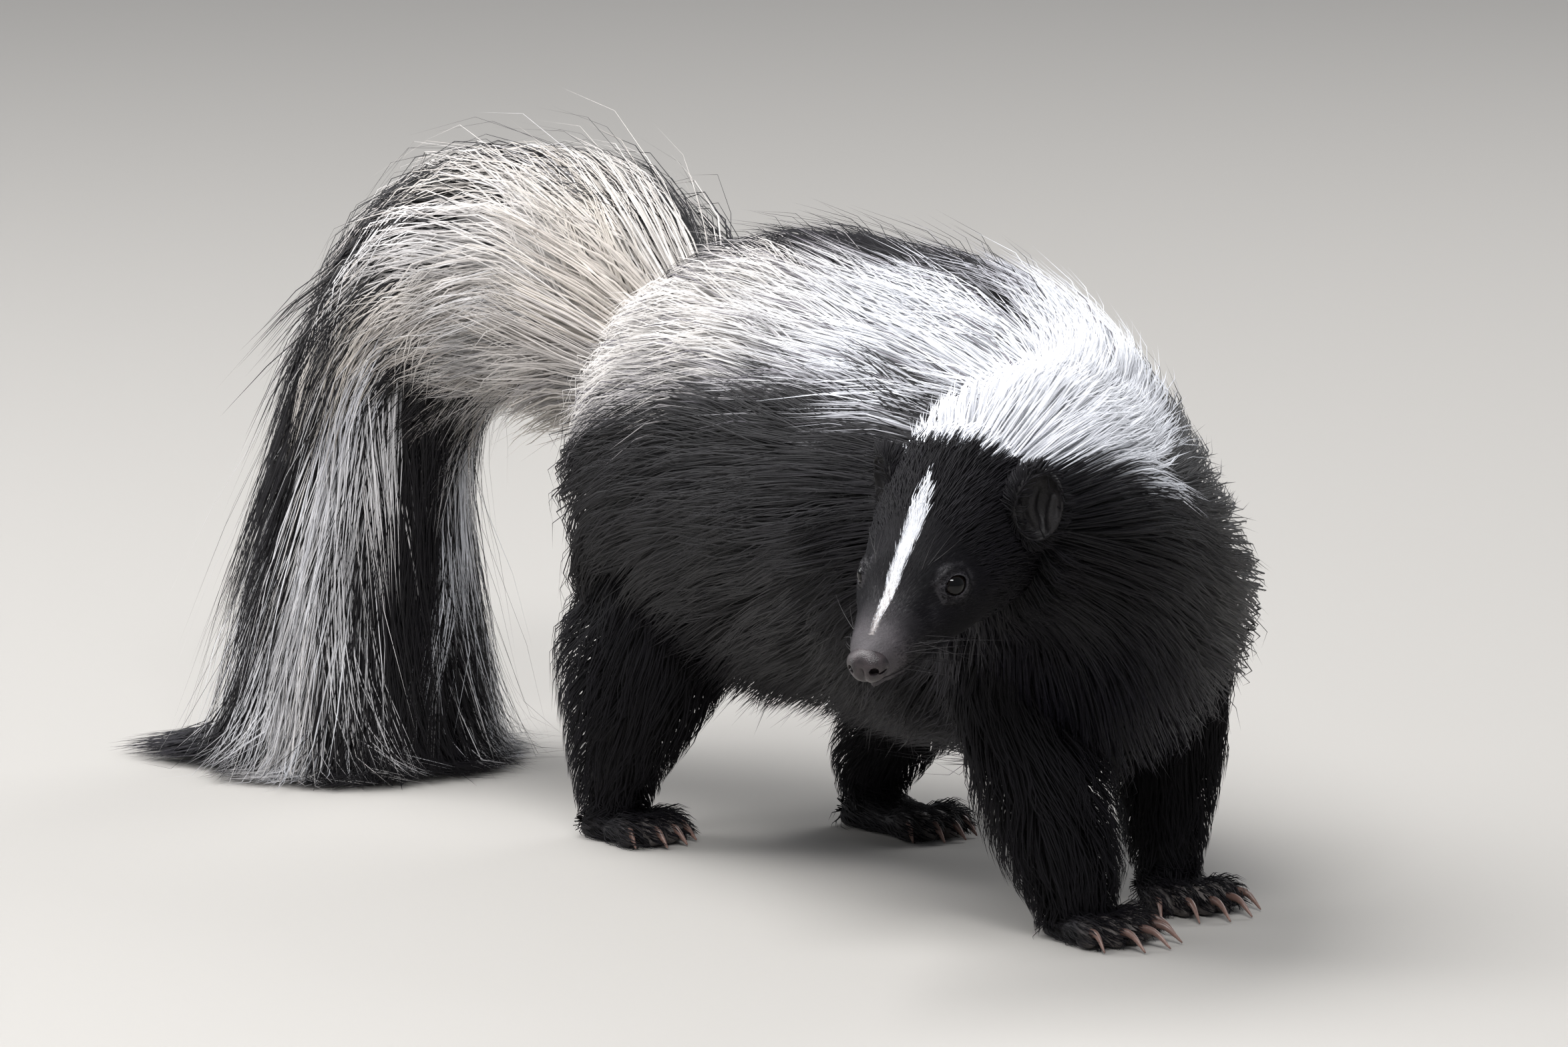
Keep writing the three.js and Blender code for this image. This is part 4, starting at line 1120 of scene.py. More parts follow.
def make_head():
    """The bare head with ears, lids and lips, its mouth and the openings for the eyes cut in."""
    back = np.array([3.4, 4.2, 5.2, *np.arange(6.5, 71, 1.5), 71, 74, 77, 80, 83])
    back, angle = grid(back, circle(72))
    rings = head_point(back, angle, -coat_depth(back))
    parts = [tube("head_form", shape_head(rings.reshape(-1, 3)).reshape(rings.shape))]
    for _, sign in SIDES:
        parts.append(make_ear(sign))
        axes = np.array(eye_axes(sign))
        parts.append(ball("lids", eye_centre(sign) - axes[2] * 0.25, axes, (5.9, 5.4, 5.75), 36))
        # the brow's fold over the eye and the bag under it
        fold = [(5.6, 2.6, 2.2), (0, 4.9, 3.4), (-5.4, 3.0, 2.4)]
        bag = [(5.2, -2.6, 2.4), (0, -4.7, 3.0), (-5.2, -2.8, 2.6)]
        for line, thick in ((fold, 0.95), (bag, 0.7)):
            points = [eye_centre(sign) + np.array(place) @ axes for place in line]
            parts.append(rod("fold", points, [0.4, thick, thick, 0.4], 10, lift=axes[2], rows=12))
    line = mouth_line()
    for lift, thick in ((0.95, 1.15), (-1.0, 0.95)):
        lip = line.copy()
        lip[:, 0] -= 0.4
        lip[:, 1] -= np.sign(lip[:, 1]) * 0.7 * thick
        lip[:, 2] += lift
        parts.append(rod("lip", in_head(lip), [0.35, thick, thick, thick, 0.35], 8, lift=AXES[2], rows=36))
    head = join("head_form", parts)
    weld(head, HEAD_GRID, 3)
    # the gap between the lips, and the openings of the lids
    s = steps(0, len(line) - 1, 60)
    middle = spline(line, s)
    way = np.gradient(middle, axis=0)
    outward = unit(np.stack([way[:, 1], -way[:, 0], 0 * way[:, 0]], -1))
    outward *= np.where((outward * (middle + (9, 0, 0))).sum(1) < 0, -1, 1)[:, None]
    slot = []
    for reach, high in ((-1.6, -0.1), (2, -0.28), (2, 0.28), (-1.6, 0.1)):
        slot.append(in_head(middle + outward * reach + np.array((0, 0, high))))
    combine(head, tube("gap", np.stack(slot, 1)), "DIFFERENCE")
    opening = bpy.context.scene.skunk_face.eye_open * 1000
    turn = circle(48)
    almond = np.stack([np.cos(turn), 0.78 * np.sin(turn) * (1 - 0.18 * np.cos(turn) ** 2)], -1)
    for _, sign in SIDES:
        axes = np.array(eye_axes(sign))
        centre = eye_centre(sign)
        slit = []
        for far, wide in ((0.5, 0.9), (4.2, 1.0), (9.0, 1.35)):
            ring = np.concatenate([almond * opening * wide, np.full((48, 1), far)], 1)
            slit.append(centre + ring @ axes)
        combine(head, tube("slit", np.array(slit)), "DIFFERENCE")
        combine(head, ball("socket", centre, axes, (4.78, 4.78, 4.78), 48), "DIFFERENCE")
    return head


def toe_line(name, toe, stops):
    """Points over a toe's own line, each so far out from its root and so high: root, way, points."""
    _, turn, kind = FEET[name]
    side = (toe - 2) / 2
    root = foot_place(name, kind["palm"] - 3 - 4 * side * side, side * kind["wide"] * 0.8, 0.0)
    a = math.radians(turn + TOE_SPREAD[toe] * 0.8)
    way = np.array((math.cos(a), math.sin(a), 0))
    return root, way, [root + way * far + np.array((0, 0, up)) for far, up in stops]


def make_foot(name):
    """A bare foot: sole, five toes and their pads."""
    kind = FEET[name][2]
    wide, tall, palm = kind["wide"], kind["tall"], kind["palm"]
    sole = np.array([
        (-kind["back"], 0.35, 0.35), (-kind["back"] + 3, 0.62, 0.8), (0, 0.8, 1),
        (palm * 0.5, 0.92, 0.72), (palm, 1, 0.55), (palm + 4, 0.8, 0.4)])
    angle = circle(40)
    rings = []
    for f, w, h in spline(sole, steps(0, 5, 20)):
        up = 0.45 * tall * h + (0.6 * tall * h) * np.cos(angle)
        rings.append(foot_place(name, f, (wide * w - 0.3) * np.sin(angle), np.maximum(up, 0.25)))
    parts = [tube("palm", np.array(rings))]
    thick = kind["toe_wide"] - 0.15
    for toe, length in enumerate(TOE_LENGTH):
        reach = kind["toe"] * length
        stops = ((-4, 4.0), (reach * 0.5, 5.6), (reach + 1.2, 4.2), (reach + 3.0, 3.6))
        root, way, line = toe_line(name, toe, stops)
        radii = [thick * 0.9, thick * 1.08, thick * 0.85, thick * 0.45]
        parts.append(rod("toe", line, radii, 16, rows=14))
        pad = root + way * (reach - 0.6) + np.array((0, 0, 2.2))
        axes = np.array((way, np.cross((0, 0, 1), way), (0, 0, 1)))
        parts.append(ball("pad", pad, axes, (4.2, thick * 0.92, 2.0), 20))
    foot = join("foot_form", parts)
    weld(foot, FOOT_GRID, 3)
    place_vertices(foot, lifted(vertices(foot), 0.12))
    return foot


def rail_tube(name, rail, end, rows, sides):
    """The bare skin of a rail, up to a station."""
    s, angle = grid(steps(0, end, rows), circle(sides))
    return tube(name, lifted(rail.point(s, angle, np.full(s.shape, SKIN_REACH)), 0.3))


def marking_samples():
    """Places all over the skin with the colour that it has there."""
    places, colours = [], []
    dark = tint("#121014")

    def sample(rail, count, white):
        s, angle = flat_grid(steps(0, rail.last, count), np.linspace(-math.pi, math.pi, 72))
        places.append(rail.point(s, angle, np.full(len(s), SKIN_REACH)))
        colours.append(dark + (tint("#d0cccb") - dark) * white(s, angle)[:, None])

    sample(spine, 130, lambda s, a: np.clip(spine_white(s, a) / 4 + 0.5, 0, 1))
    sample(tail, 90, lambda s, a: tail_white(s, a) * 0.5)
    for rail in legs.values():
        sample(rail, 30, nothing)
    back, angle = flat_grid(steps(4, 74, 70), np.linspace(-math.pi, math.pi, 90))
    places.append(head_point(back, angle, -coat_depth(back)))
    white = np.clip(head_white(back, angle) / 1.2 + 0.5, 0, 1)[:, None]
    face = dark + (tint("#3d393c") - dark) * ease(back, 17, -6)[:, None]
    colours.append(face + (tint("#a39c9a") - face) * white)
    for name, (_, _, kind) in FEET.items():
        forward, left = flat_grid(steps(-10, kind["palm"] + 16, 30), steps(-14, 14, 24))
        places.append(foot_place(name, forward, left, np.full(forward.size, 3.0)))
        toe = ease(forward, kind["palm"] - 4, 8)[:, None]
        colours.append(mix(dark * 1.6, tint("#55504e"), toe))
    return np.concatenate(places), np.concatenate(colours)


class SKUNK_OT_skin(bpy.types.Operator):
    """One closed skin for head, ears, neck, trunk, tail, legs and feet."""

    bl_idname = "skunk.skin"
    bl_label = "Skin"

    def execute(self, context):
        parts = [rail_tube("trunk_form", spine, spine.last, 100, 64)]
        parts.append(rail_tube("tail_form", tail, TAIL_SKIN, 70, 28))
        parts += [rail_tube("leg_form", rail, rail.last, 36, 32) for rail in legs.values()]
        skin = join("skin", parts)
        weld(skin, SKIN_GRID, 6)
        combine(skin, make_head(), "UNION")
        for name in FEET:
            combine(skin, make_foot(name), "UNION")
        co = vertices(skin)
        samples, tints = marking_samples()
        colours = tints[owners(co, samples)]
        for _, sign in SIDES:
            lid = ease(apart(co, eye_centre(sign)), 6.0, -0.5)[:, None]
            colours = mix(colours, tint("#2e2c30"), lid)
            cup = ease(apart(to_head(co), to_head(ear_centre(sign))), 13, -4)[:, None]
            colours = mix(colours, tint("#121012"), cup)
        paint(skin, "Marking", colours)
        flesh = ["head", "ear_left", "ear_right", "neck", "nape_white", "blaze", "stripe_left",
                 "stripe_right", "trunk", "tail_arch", "tail_fall"]
        flesh += [f"leg_{name}" for name in LEGS] + [f"foot_{name}" for name in FEET]
        finish_piece(skin, finish_of(skin_material), flesh)
        return {"FINISHED"}


# ---------------------------------------------------------------- eyes, nose, claws, whiskers
class SKUNK_OT_eyes(bpy.types.Operator):
    """Two dark eyeballs with a raised cornea."""

    bl_idname = "skunk.eyes"
    bl_label = "Eyes"

    def execute(self, context):
        radius = context.scene.skunk_face.eye_radius * 1000
        glossy = finish_of(eye_material)
        for side, sign in SIDES:
            axes = np.array(eye_axes(sign))
            centre = eye_centre(sign)
            eye = ball(f"eyeball_{side}", centre, axes, (radius,) * 3, 64)
            co = vertices(eye)
            off = unit(co - centre)
            angle = np.degrees(np.arccos(np.clip(off @ axes[2], -1, 1)))
            bulge = 0.45 * np.clip(1 - (angle / 46) ** 2, 0, 1) ** 1.2
            place_vertices(eye, co + off * bulge[:, None])
            gaze = eye.data.attributes.new("Gaze", "FLOAT", "POINT")
            gaze.data.foreach_set("value", (angle / 90).astype(np.float32))
            finish_piece(eye, glossy, [f"eye_{side}"])
        return {"FINISHED"}


class SKUNK_OT_nose(bpy.types.Operator):
    """The bare nose pad, with comma-shaped nostrils and a groove down its middle."""

    bl_idname = "skunk.nose"
    bl_label = "Nose"

    def execute(self, context):
        pad = ball("nose_pad", in_head(NOSE_AT), AXES, NOSE_SIZE, 56)
        place = to_head(vertices(pad)) - np.array(NOSE_AT)
        # a blunt front, wider above than below, with a groove down the middle
        front = np.clip(place[:, 0] / NOSE_SIZE[0], 0, 1)
        place[:, 1] *= 1 + 0.10 * place[:, 2] / NOSE_SIZE[2]
        place[:, 0] -= 0.9 * front * hump(place[:, 1], 0, 0.7) * (place[:, 2] < 1.5)
        place[:, 0] += 0.5 * front * hump(np.abs(place[:, 1]), 2.6, 1.6)
        place_vertices(pad, in_head(place + np.array(NOSE_AT)))
        for _, sign in SIDES:
            way = head_way((0.8, 0.55 * sign, 0.05))
            across = unit(np.cross(AXES[2], way))
            axes = np.array((way, across, np.cross(way, across)))
            hole = ball("hole", in_head((-0.9, 3.7 * sign, -0.2)), axes, (3.0, 1.45, 1.25), 24)
            combine(pad, hole, "DIFFERENCE")
            tail_way = head_way((0.15, 0.97 * sign, -0.18))
            lift = unit(np.cross(tail_way, across))
            axes = np.array((tail_way, unit(np.cross(lift, tail_way)), lift))
            slit = ball("slit", in_head((-2.9, 5.6 * sign, -1.1)), axes, (2.4, 1.6, 0.5), 24)
            combine(pad, slit, "DIFFERENCE")
        weld(pad, NOSE_GRID, 2)
        finish_piece(pad, finish_of(nose_material), ["nose"])
        return {"FINISHED"}


class SKUNK_OT_claws(bpy.types.Operator):
    """Twenty curved claws, long on the fore feet, modelled as one piece for each foot."""

    bl_idname = "skunk.claws"
    bl_label = "Claws"

    def execute(self, context):
        horn = finish_of(claw_material)
        thick = context.scene.skunk_face.claw_width * 1000
        radii = [thick, thick * 0.95, thick * 0.7, 0.18]
        for name, (_, _, kind) in FEET.items():
            claws = []
            for toe, length in enumerate(TOE_LENGTH):
                start = kind["toe"] * length + 0.5
                claw = kind["claw"] * length
                stops = ((-1.5, 4.0), (claw * 0.25, 5.4), (claw * 0.6, kind["rise"] - 0.4), (claw, 0.7))
                line = toe_line(name, toe, [(start + far, up) for far, up in stops])[2]
                claws.append(rod("claw", line, radii, 12, flat=1.25, rows=16))
            piece = join(f"claws_{name}", claws)
            co = lifted(vertices(piece), 0.1)
            place_vertices(piece, co)
            reach = apart(co[:, :2], foot_place(name, kind["palm"] - 3, 0, 0)[:2])
            share = ease(reach, kind["toe"], kind["claw"])[:, None]
            paint(piece, "Marking", mix(tint("#352a29"), tint("#86695f"), share))
            finish_piece(piece, horn)
        return {"FINISHED"}


# ---------------------------------------------------------------- the coat's operators
def mesh_roots(chosen, count, dice):
    """Roots spread evenly over the skin's triangles that are chosen: places and normals."""
    skin = bpy.data.objects["skin"]
    mesh = skin.data
    mesh.calc_loop_triangles()
    tri = np.empty(len(mesh.loop_triangles) * 3, np.int32)
    mesh.loop_triangles.foreach_get("vertices", tri)
    tri = tri.reshape(-1, 3)
    co = vertices(skin)
    tri = tri[chosen(co[tri].mean(1))]
    a, b, c = co[tri[:, 0]], co[tri[:, 1]], co[tri[:, 2]]
    normal = np.cross(b - a, c - a)
    area = np.linalg.norm(normal, axis=1)
    total = np.cumsum(area)
    mark = (np.arange(count) + dice.random(count)) / count * total[-1]
    pick = np.minimum(np.searchsorted(total, mark), len(total) - 1)
    u, v = dice.random(count), dice.random(count)
    over = u + v > 1
    u, v = np.where(over, 1 - u, u)[:, None], np.where(over, 1 - v, v)[:, None]
    place = a[pick] * (1 - u - v) + b[pick] * u + c[pick] * v
    return place, unit(normal[pick])


def short_coat(place, normal, way, long, lift, curve, rings, dice, lock, pull):
    """Short tufts over the skin, as paths and ways out: along a way, lifted off the skin, bent round
    its curve, and drawn together in this many locks."""
    way = unit(way - normal * (way * normal).sum(1, keepdims=True))
    side = np.cross(normal, way)
    way = unit(way + side * 0.12 * dice.standard_normal(len(way))[:, None])
    t = steps(0, 1, rings)
    far = long[:, None] * t
    path = place[:, None] - normal[:, None] * 0.2 + way[:, None] * far[..., None]
    rise = (lift * long)[:, None] * (1 - (1 - t) ** 2) - far**2 / (2 * curve)
    path = path + normal[:, None] * rise[..., None]
    spacing = max(1, int(len(place) / lock))
    owner = owners(place, place[::spacing]) * spacing
    path = path + (path[owner] - path) * (pull * t[None, :, None] ** 1.5)
    return path, np.repeat(normal[:, None], rings + 1, 1)


class SKUNK_OT_trunk_coat(bpy.types.Operator):
    """The long coat of neck and trunk, black and white in pieces of their own."""

    bl_idname = "skunk.trunk_coat"
    bl_label = "Trunk coat"

    def execute(self, context):
        coat = context.scene.skunk_coat
        dice = np.random.default_rng(SEED)
        rings = 3
        count = coat.trunk_tufts

        def weight(s, a):
            belly = ease(np.abs(a), math.radians(135), math.radians(25))
            pale = (np.abs(a) < 1.25) * np.interp(s, (1.8, 2.6), (0.9, 0.45))
            return 0.85 - 0.3 * belly * (s > 3) + pale

        def sweep(s, a):
            low = ease(np.abs(a), 1.05, 0.45)
            return 9 + np.maximum(40 * hump(s, 7.8, 1.2) * low, 42 * hump(s, 3.1, 0.9) * low)

        s, angle = scatter(spine, TRUNK_COAT, count, dice, weight)
        turn = np.abs(angle)
        long = coat.length * spine.depth(s, angle) * uneven(dice, count, 0.16)
        long = np.clip(long, *TRUNK_HAIR) * np.interp(s, (0, 1, 2, 3), (0.62, 0.66, 0.8, 1))
        # fuller over the shoulders and the tops of the hind legs, on the rump and the tail's root
        side = hump(turn, math.radians(100), math.radians(34))
        full = np.interp(s, (0, 1, 2, 3, 6, 8, 9.7), (1.1, 1.12, 1.12, 1.12, 1.12, 1.25, 1.45))
        full = full + 0.38 * side * hump(s, 7.6, 1.1)
        full = full + 0.3 * hump(turn, math.radians(118), math.radians(28)) * hump(s, 8.5, 0.8)
        full = full + np.where(angle < 0, 0.3, 0.16) * side * hump(s, 3.0, 0.9)
        tip = full * uneven(dice, count, 0.08, 1.2, 0.6)
        tip, loose = with_strays(tip, dice, 0.3, (0.45, 0.4), (0.06, 0.16))
        belly = ease(turn, math.radians(95), math.radians(50))
        droop = 9 * belly * (s > 2.5) + 12 * side * hump(s, 7.6, 1.4)
        pull = np.interp(s, (1, 3.5), (0.25, 0.55))
        path, out, owner = gathered(
            spine, s, angle, long, 0.06, tip, rings, TRUNK_LOCK, dice, pull, 1.3, sweep, droop, loose)
        # hair of the rump sweeps up on to the tail
        up = (17 * np.clip(np.cos(angle) * 1.6, 0, 1) * ease(s, 7.2, 1.4))[:, None]
        rise = up * steps(0, 1, rings)[None] ** 2
        path[..., 2] += rise
        path[..., 0] -= 0.7 * rise
        patchy = 2.0 * dice.standard_normal(count) + 1.3 * dice.standard_normal(owner.max() + 1)[owner]
        inside = spine_white(s, angle, patchy)
        white = inside > 0
        behind = s > NECK_END
        # white is cool and bright on the nape, creamier down the back and greyer at its lower edge
        warm = np.clip((s - 3.6) / 2.2, 0, 0.6)[:, None]
        edge = (np.clip(1 - inside / 9, 0, 0.7) * behind)[:, None]
        bright = mix(mix(np.array(coat.white), np.array(coat.cream), warm), np.array(coat.grey), edge)
        bright = two(coat.grey, bright, (dice.random(count) < 0.10) & white & behind) * 0.84
        # painted sheen: the black hair of the throat and chest gets lighter, bluish grey tips
        painted_sheen = (belly * hump(s, 1.6, 1.1))[:, None]
        root = two(bright * 0.9, coat.black, white)
        tips = two(bright, np.array(coat.black_tip) * (1 + painted_sheen * (1.3, 1.5, 1.9)), white)
        colours = shades(root, tips, rings, dice, np.where(white, 0.07, 0.2))
        wide = coat.tuft_width * 1000 * (0.75 + 0.5 * dice.random(count)) * np.where(loose, 0.45, 1)
        tufts = (path, out, wide, colours, wrapped(angle, s / 9.8))
        front = s < TRUNK_HALF
        for name, slot, chosen in (
            ("coat_nape", "white_fur", white & (s < NECK_END)),
            ("coat_stripes", "white_fur", white & (s >= NECK_END)),
            ("coat_neck", "black_fur", ~white & (s < NECK_END)),
            ("coat_fore_trunk", "black_fur", ~white & (s >= NECK_END) & front),
            ("coat_rear_trunk", "black_fur", ~white & ~front),
        ):
            blades(name, tufts, chosen, (0.8, 1.0, 0.6), finish_of(coat_material))
        return {"FINISHED"}


class SKUNK_OT_tail_coat(bpy.types.Operator):
    """The plume: long mixed hair over the arch and down the fall, and the hair on the ground."""

    bl_idname = "skunk.tail_coat"
    bl_label = "Tail coat"

    def execute(self, context):
        coat = context.scene.skunk_coat
        dice = np.random.default_rng(SEED + 1)
        rings = 4
        count = coat.tail_tufts
        s, angle = scatter(tail, TAIL_COAT, count, dice)
        long = TAIL_HAIR * uneven(dice, count, 0.2) * np.clip(0.62 + 0.25 * s, 0.6, 1)
        long = long * (1 - 0.35 * tail_below(s, angle))
        height = tail.point(s, angle, np.full(count, 0.2))[:, 2]
        long = np.where(s > 3, np.minimum(long, height + 6 + 16 * dice.random(count)), long)
        # fuller at its root, and on the outside where the arch turns down
        full = np.interp(s, (0, 0.5, 1.2, 3, 4.2, 7), (1.6, 1.1, 1.02, 1.12, 1.12, 1.05))
        full = full + 0.5 * hump(s, 3.1, 1.1) * np.clip(np.cos(angle + 0.5), 0, 1)
        tip = full * uneven(dice, count, 0.10, 1.2, 0.5, 0.98)
        tip, loose = with_strays(tip, dice, 0.35, (0.35, 0.5), (0.05, 0.2))
        most = np.interp(s, (0, 1.2, 2.5, 3.0, 3.6), (1.7, 1.26, 1.26, 1.45, 2))
        tip = np.minimum(tip, most + 0.05 * dice.random(count))
        # the outer hair of the arch stands off to the photo's left before it falls
        stiff = 0.62 * hump(s, 2.35, 0.5) * np.clip(np.cos(angle + 0.7), 0, 1)
        pull = np.interp(s, (1.5, 3), (0.7, 0.88))
        path, out, owner = gathered(
            tail, s, angle, long, 0.0, tip, rings, TAIL_LOCK, dice, pull, 3.4, droop=6.0, loose=loose,
            stray=lambda s: np.interp(s, (1.5, 2.6, 3.4), (11, 11, 5.5)), lean=tail_lean, stiff=stiff)
        number = owner.max() + 1
        draw = dice.random(number)[owner] * 0.8 + dice.random(count) * 0.2
        white = draw < tail_white(s, angle)
        creamy = np.clip(0.5 * dice.random(number)[owner] + 0.35 * (s < 2.4), 0, 1)[:, None]
        dull = (dice.random(number)[owner] ** 2 * np.interp(s, (2.5, 3.5), (0.5, 0.2)))[:, None]
        bright = mix(np.array(coat.white) * 0.88, np.array(coat.cream), creamy)
        bright = mix(bright, np.array(coat.grey), dull)
        root = two(bright * 0.9, coat.black, white)
        tips = two(bright * 0.97, coat.black_tip, white)
        colours = shades(root, tips, rings, dice, np.where(white, 0.1, 0.25))
        wide = coat.tail_width * 1000 * (0.6 + 0.6 * dice.random(count)) * np.where(loose, 0.4, 1)
        tufts = (path, out, wide, colours, wrapped(angle, s / 6.7))
        material = finish_of(coat_material)
        for name, chosen in (("coat_tail_arch", s < TAIL_HALF), ("coat_tail_fall", s >= TAIL_HALF)):
            blades(name, tufts, chosen, (0.75, 1.0, 0.85, 0.5), material)
        # dark hair of the tip, lying out on the ground
        number = TIP_HAIRS
        pick = dice.integers(0, 3, number)
        start = np.array([(-240, -58, 22), (-244, -50, 20), (-246, -40, 18)])[pick]
        end = np.array([(-287, -87, 2.0), (-296, -76, 2.0), (-290, -60, 2.0)])[pick]
        start = start + dice.standard_normal((number, 3)) * (9, 9, 6)
        end = end + np.clip(dice.standard_normal((number, 3)), -1.6, 1.6) * (9, 7, 1.0)
        t = steps(0, 1, rings)[None, :, None]
        path = mix(start[:, None], end[:, None], t)
        path[..., 2] = start[:, 2:3] + (end[:, 2:3] - start[:, 2:3]) * np.sqrt(t[..., 0])
        out = np.tile((0, 0, 1.0), (number, rings + 1, 1))
        colours = plain_black(coat, 1.5, number, rings, dice, 0.3)
        uv = np.stack([dice.random(number) * 0.99, dice.random(number) * 0.99], -1)
        wide = 0.35 + 0.2 * dice.random(number)
        tufts = (lifted(path, 0.5), out, wide, colours, uv)
        blades("coat_tail_tip", tufts, ALL, (0.7, 1, 0.8, 0.5), material, 0.6)
        return {"FINISHED"}


class SKUNK_OT_leg_coat(bpy.types.Operator):
    """Shaggy black hair down the legs."""

    bl_idname = "skunk.leg_coat"
    bl_label = "Leg coat"

    def execute(self, context):
        coat = context.scene.skunk_coat
        dice = np.random.default_rng(SEED + 2)
        rings = 3
        count = coat.leg_tufts // 4
        for name, rail in legs.items():
            fore = name.startswith("fore")
            s, angle = scatter(rail, LEG_COAT, count, dice)
            long = np.clip(2.6 * rail.depth(s, angle), *LEG_HAIR) * uneven(dice, count, 0.2)
            long = np.minimum(long, (rail.last + 0.35 - s) * rail.pitch(s) + 4)
            tip = 1.1 * uneven(dice, count, 0.12, 1.25)
            tip = tip * np.interp(s, (0.25, 1.0 + 0.5 * fore), (0.3, 1))
            # the back of the thigh carries more hair
            tip = tip + 0.55 * (not fore) * hump(s, 1.0, 0.9) * np.clip(0.4 + np.cos(angle), 0, 1)
            path, out, _ = gathered(rail, s, angle, long, 0.05, tip, rings, LEG_LOCK, dice, 0.5, 0.9)
            # painted shade: the legs' black tips are darker than the trunk's, as the legs stand in shade
            # under the body
            colours = plain_black(coat, 0.7, count, rings, dice)
            wide = coat.tuft_width * 850 * (0.7 + 0.5 * dice.random(count))
            tufts = (path, out, wide, colours, wrapped(angle, (s - 0.2) / 3.8))
            blades(f"coat_leg_{name}", tufts, ALL, (0.8, 1.0, 0.6), finish_of(face_material))
        return {"FINISHED"}


class SKUNK_OT_short_coat(bpy.types.Operator):
    """The short hair of head, ears and feet, with the blaze in a piece of its own."""

    bl_idname = "skunk.short_coat"
    bl_label = "Short coat"

    def execute(self, context):
        coat = context.scene.skunk_coat
        dice = np.random.default_rng(SEED + 3)
        # the face has the finest hair, and crown, cheeks and throat have longer
        tufts = coat.face_tufts
        start, end = HEAD_COAT
        self.head(coat, dice, ("coat_face", "coat_blaze"), (start, FACE_END), 1, int(tufts * 1.5), 0.58)
        self.head(coat, dice, ("coat_head", "coat_crown"), (FACE_END, end), 2, int(tufts * 0.38), 1.0)
        for name in FEET:
            self.foot(coat, dice, name, int(tufts * 0.15 / 4))
        return {"FINISHED"}

    def head(self, coat, dice, names, reach, rings, count, fine):
        def chosen(middle):
            place = to_head(middle)
            near = np.hypot(place[:, 1], place[:, 2] - 5) < 46
            keep = (-place[:, 0] < reach[1]) & near & (-place[:, 0] > reach[0])
            for _, sign in SIDES:
                keep &= apart(middle, eye_centre(sign)) > 5.0
                cup = (middle - ear_centre(sign)) @ np.array(ear_axes(sign)).T - EAR_SCOOP[0]
                keep &= apart(cup / EAR_SCOOP[1], 0) > 1.01
            return keep & (apart((place - NOSE_AT) / (5.2, 6.6, 5.4), 0) > 1)

        place, normal = mesh_roots(chosen, count, dice)
        spot = to_head(place)
        back = -spot[:, 0]
        rise, side, over, under, _ = head_section(back)
        up = spot[:, 2] - rise
        angle = np.arctan2(spot[:, 1] / side, up / np.where(spot[:, 2] > rise, over, under))
        turn = np.abs(angle)
        long = np.interp(back, (6, 14, 28, 40, 52, 62, 71), (1.6, 2.2, 3.6, 6.0, 10.0, 15.0, 20.0))
        crown = np.interp(back, (0, 40, 71), (20.0, 7.5, 15.0))
        long = mix(long, np.minimum(long, crown), ease(turn, 1.3, -0.4))
        # it hangs longer from the jaw and the throat
        beard = np.interp(back, (6, 14, 30, 50, 71), (1.8, 3.5, 7, 13, 22))
        long = np.maximum(long, ease(turn, 1.6, 0.8) * beard)
        # shorter round the eyes and the ears
        for _, sign in SIDES:
            long = np.minimum(long, 1.2 + 0.55 * np.maximum(0, apart(place, eye_centre(sign)) - 5))
            long = np.where(apart(place, ear_centre(sign)) < 13, np.minimum(long, 5.0), long)
        long = long * uneven(dice, count, 0.18)
        down = np.abs(np.sin(angle)) * 0.35 + np.where(np.cos(angle) < 0, 0.12, -0.05)
        way = np.stack([-np.ones(count), np.sin(angle) * 0.25, -down], -1) @ AXES
        lift = np.interp(back, (6, 30, 50, 71), (0.16, 0.26, 0.42, 0.5))
        path, out = short_coat(place, normal, way, long, lift, 30.0, rings, dice, count // 9, 0.35)
        white = head_white(back, angle, 0.35 * dice.standard_normal(count)) > 0
        wide = np.where(white & (back < 60), 0.8, 1.0)
        for _, sign in SIDES:
            white &= apart(place, ear_centre(sign)) > 14.5
        # the muzzle's short hair is greyer, and palest on top with a painted sheen where it faces the light
        muzzle = ease(back, 20, -12)[:, None]
        pale = np.clip(1.6 - turn, 0.25, 1)[:, None]
        dark = mix(np.array(coat.black), tint("#443f43") * pale, muzzle)
        dark_tips = mix(np.array(coat.black_tip) * 0.8, tint("#595459") * pale, muzzle)
        root = two(np.array(coat.white) * 0.8, dark, white)
        tips = two(coat.white, dark_tips, white)
        colours = shades(root, tips, rings, dice, np.where(white, 0.08, 0.2))
        wide = wide * coat.face_width * 1000 * fine * np.interp(back, (6, 30, 71), (0.85, 1.0, 1.5))
        wide = wide * (0.75 + 0.5 * dice.random(count))
        tufts = (path, out, wide, colours, wrapped(angle, back / 72, 0.99))
        for name, slot, pick in ((names[0], "black_fur", ~white), (names[1], "white_fur", white)):
            blades(name, tufts, pick, (0.9, 0.8), finish_of(face_material), 0.6, PLUSH)

    def foot(self, coat, dice, name, count):
        at, turn, kind = FEET[name]
        palm = kind["palm"]
        middle = foot_place(name, palm * 0.4, 0, 0)

        def chosen(points):
            near = np.hypot(points[:, 0] - middle[0], points[:, 1] - middle[1]) < palm + 20
            return near & (points[:, 2] < 15) & (points[:, 2] > 2.6)

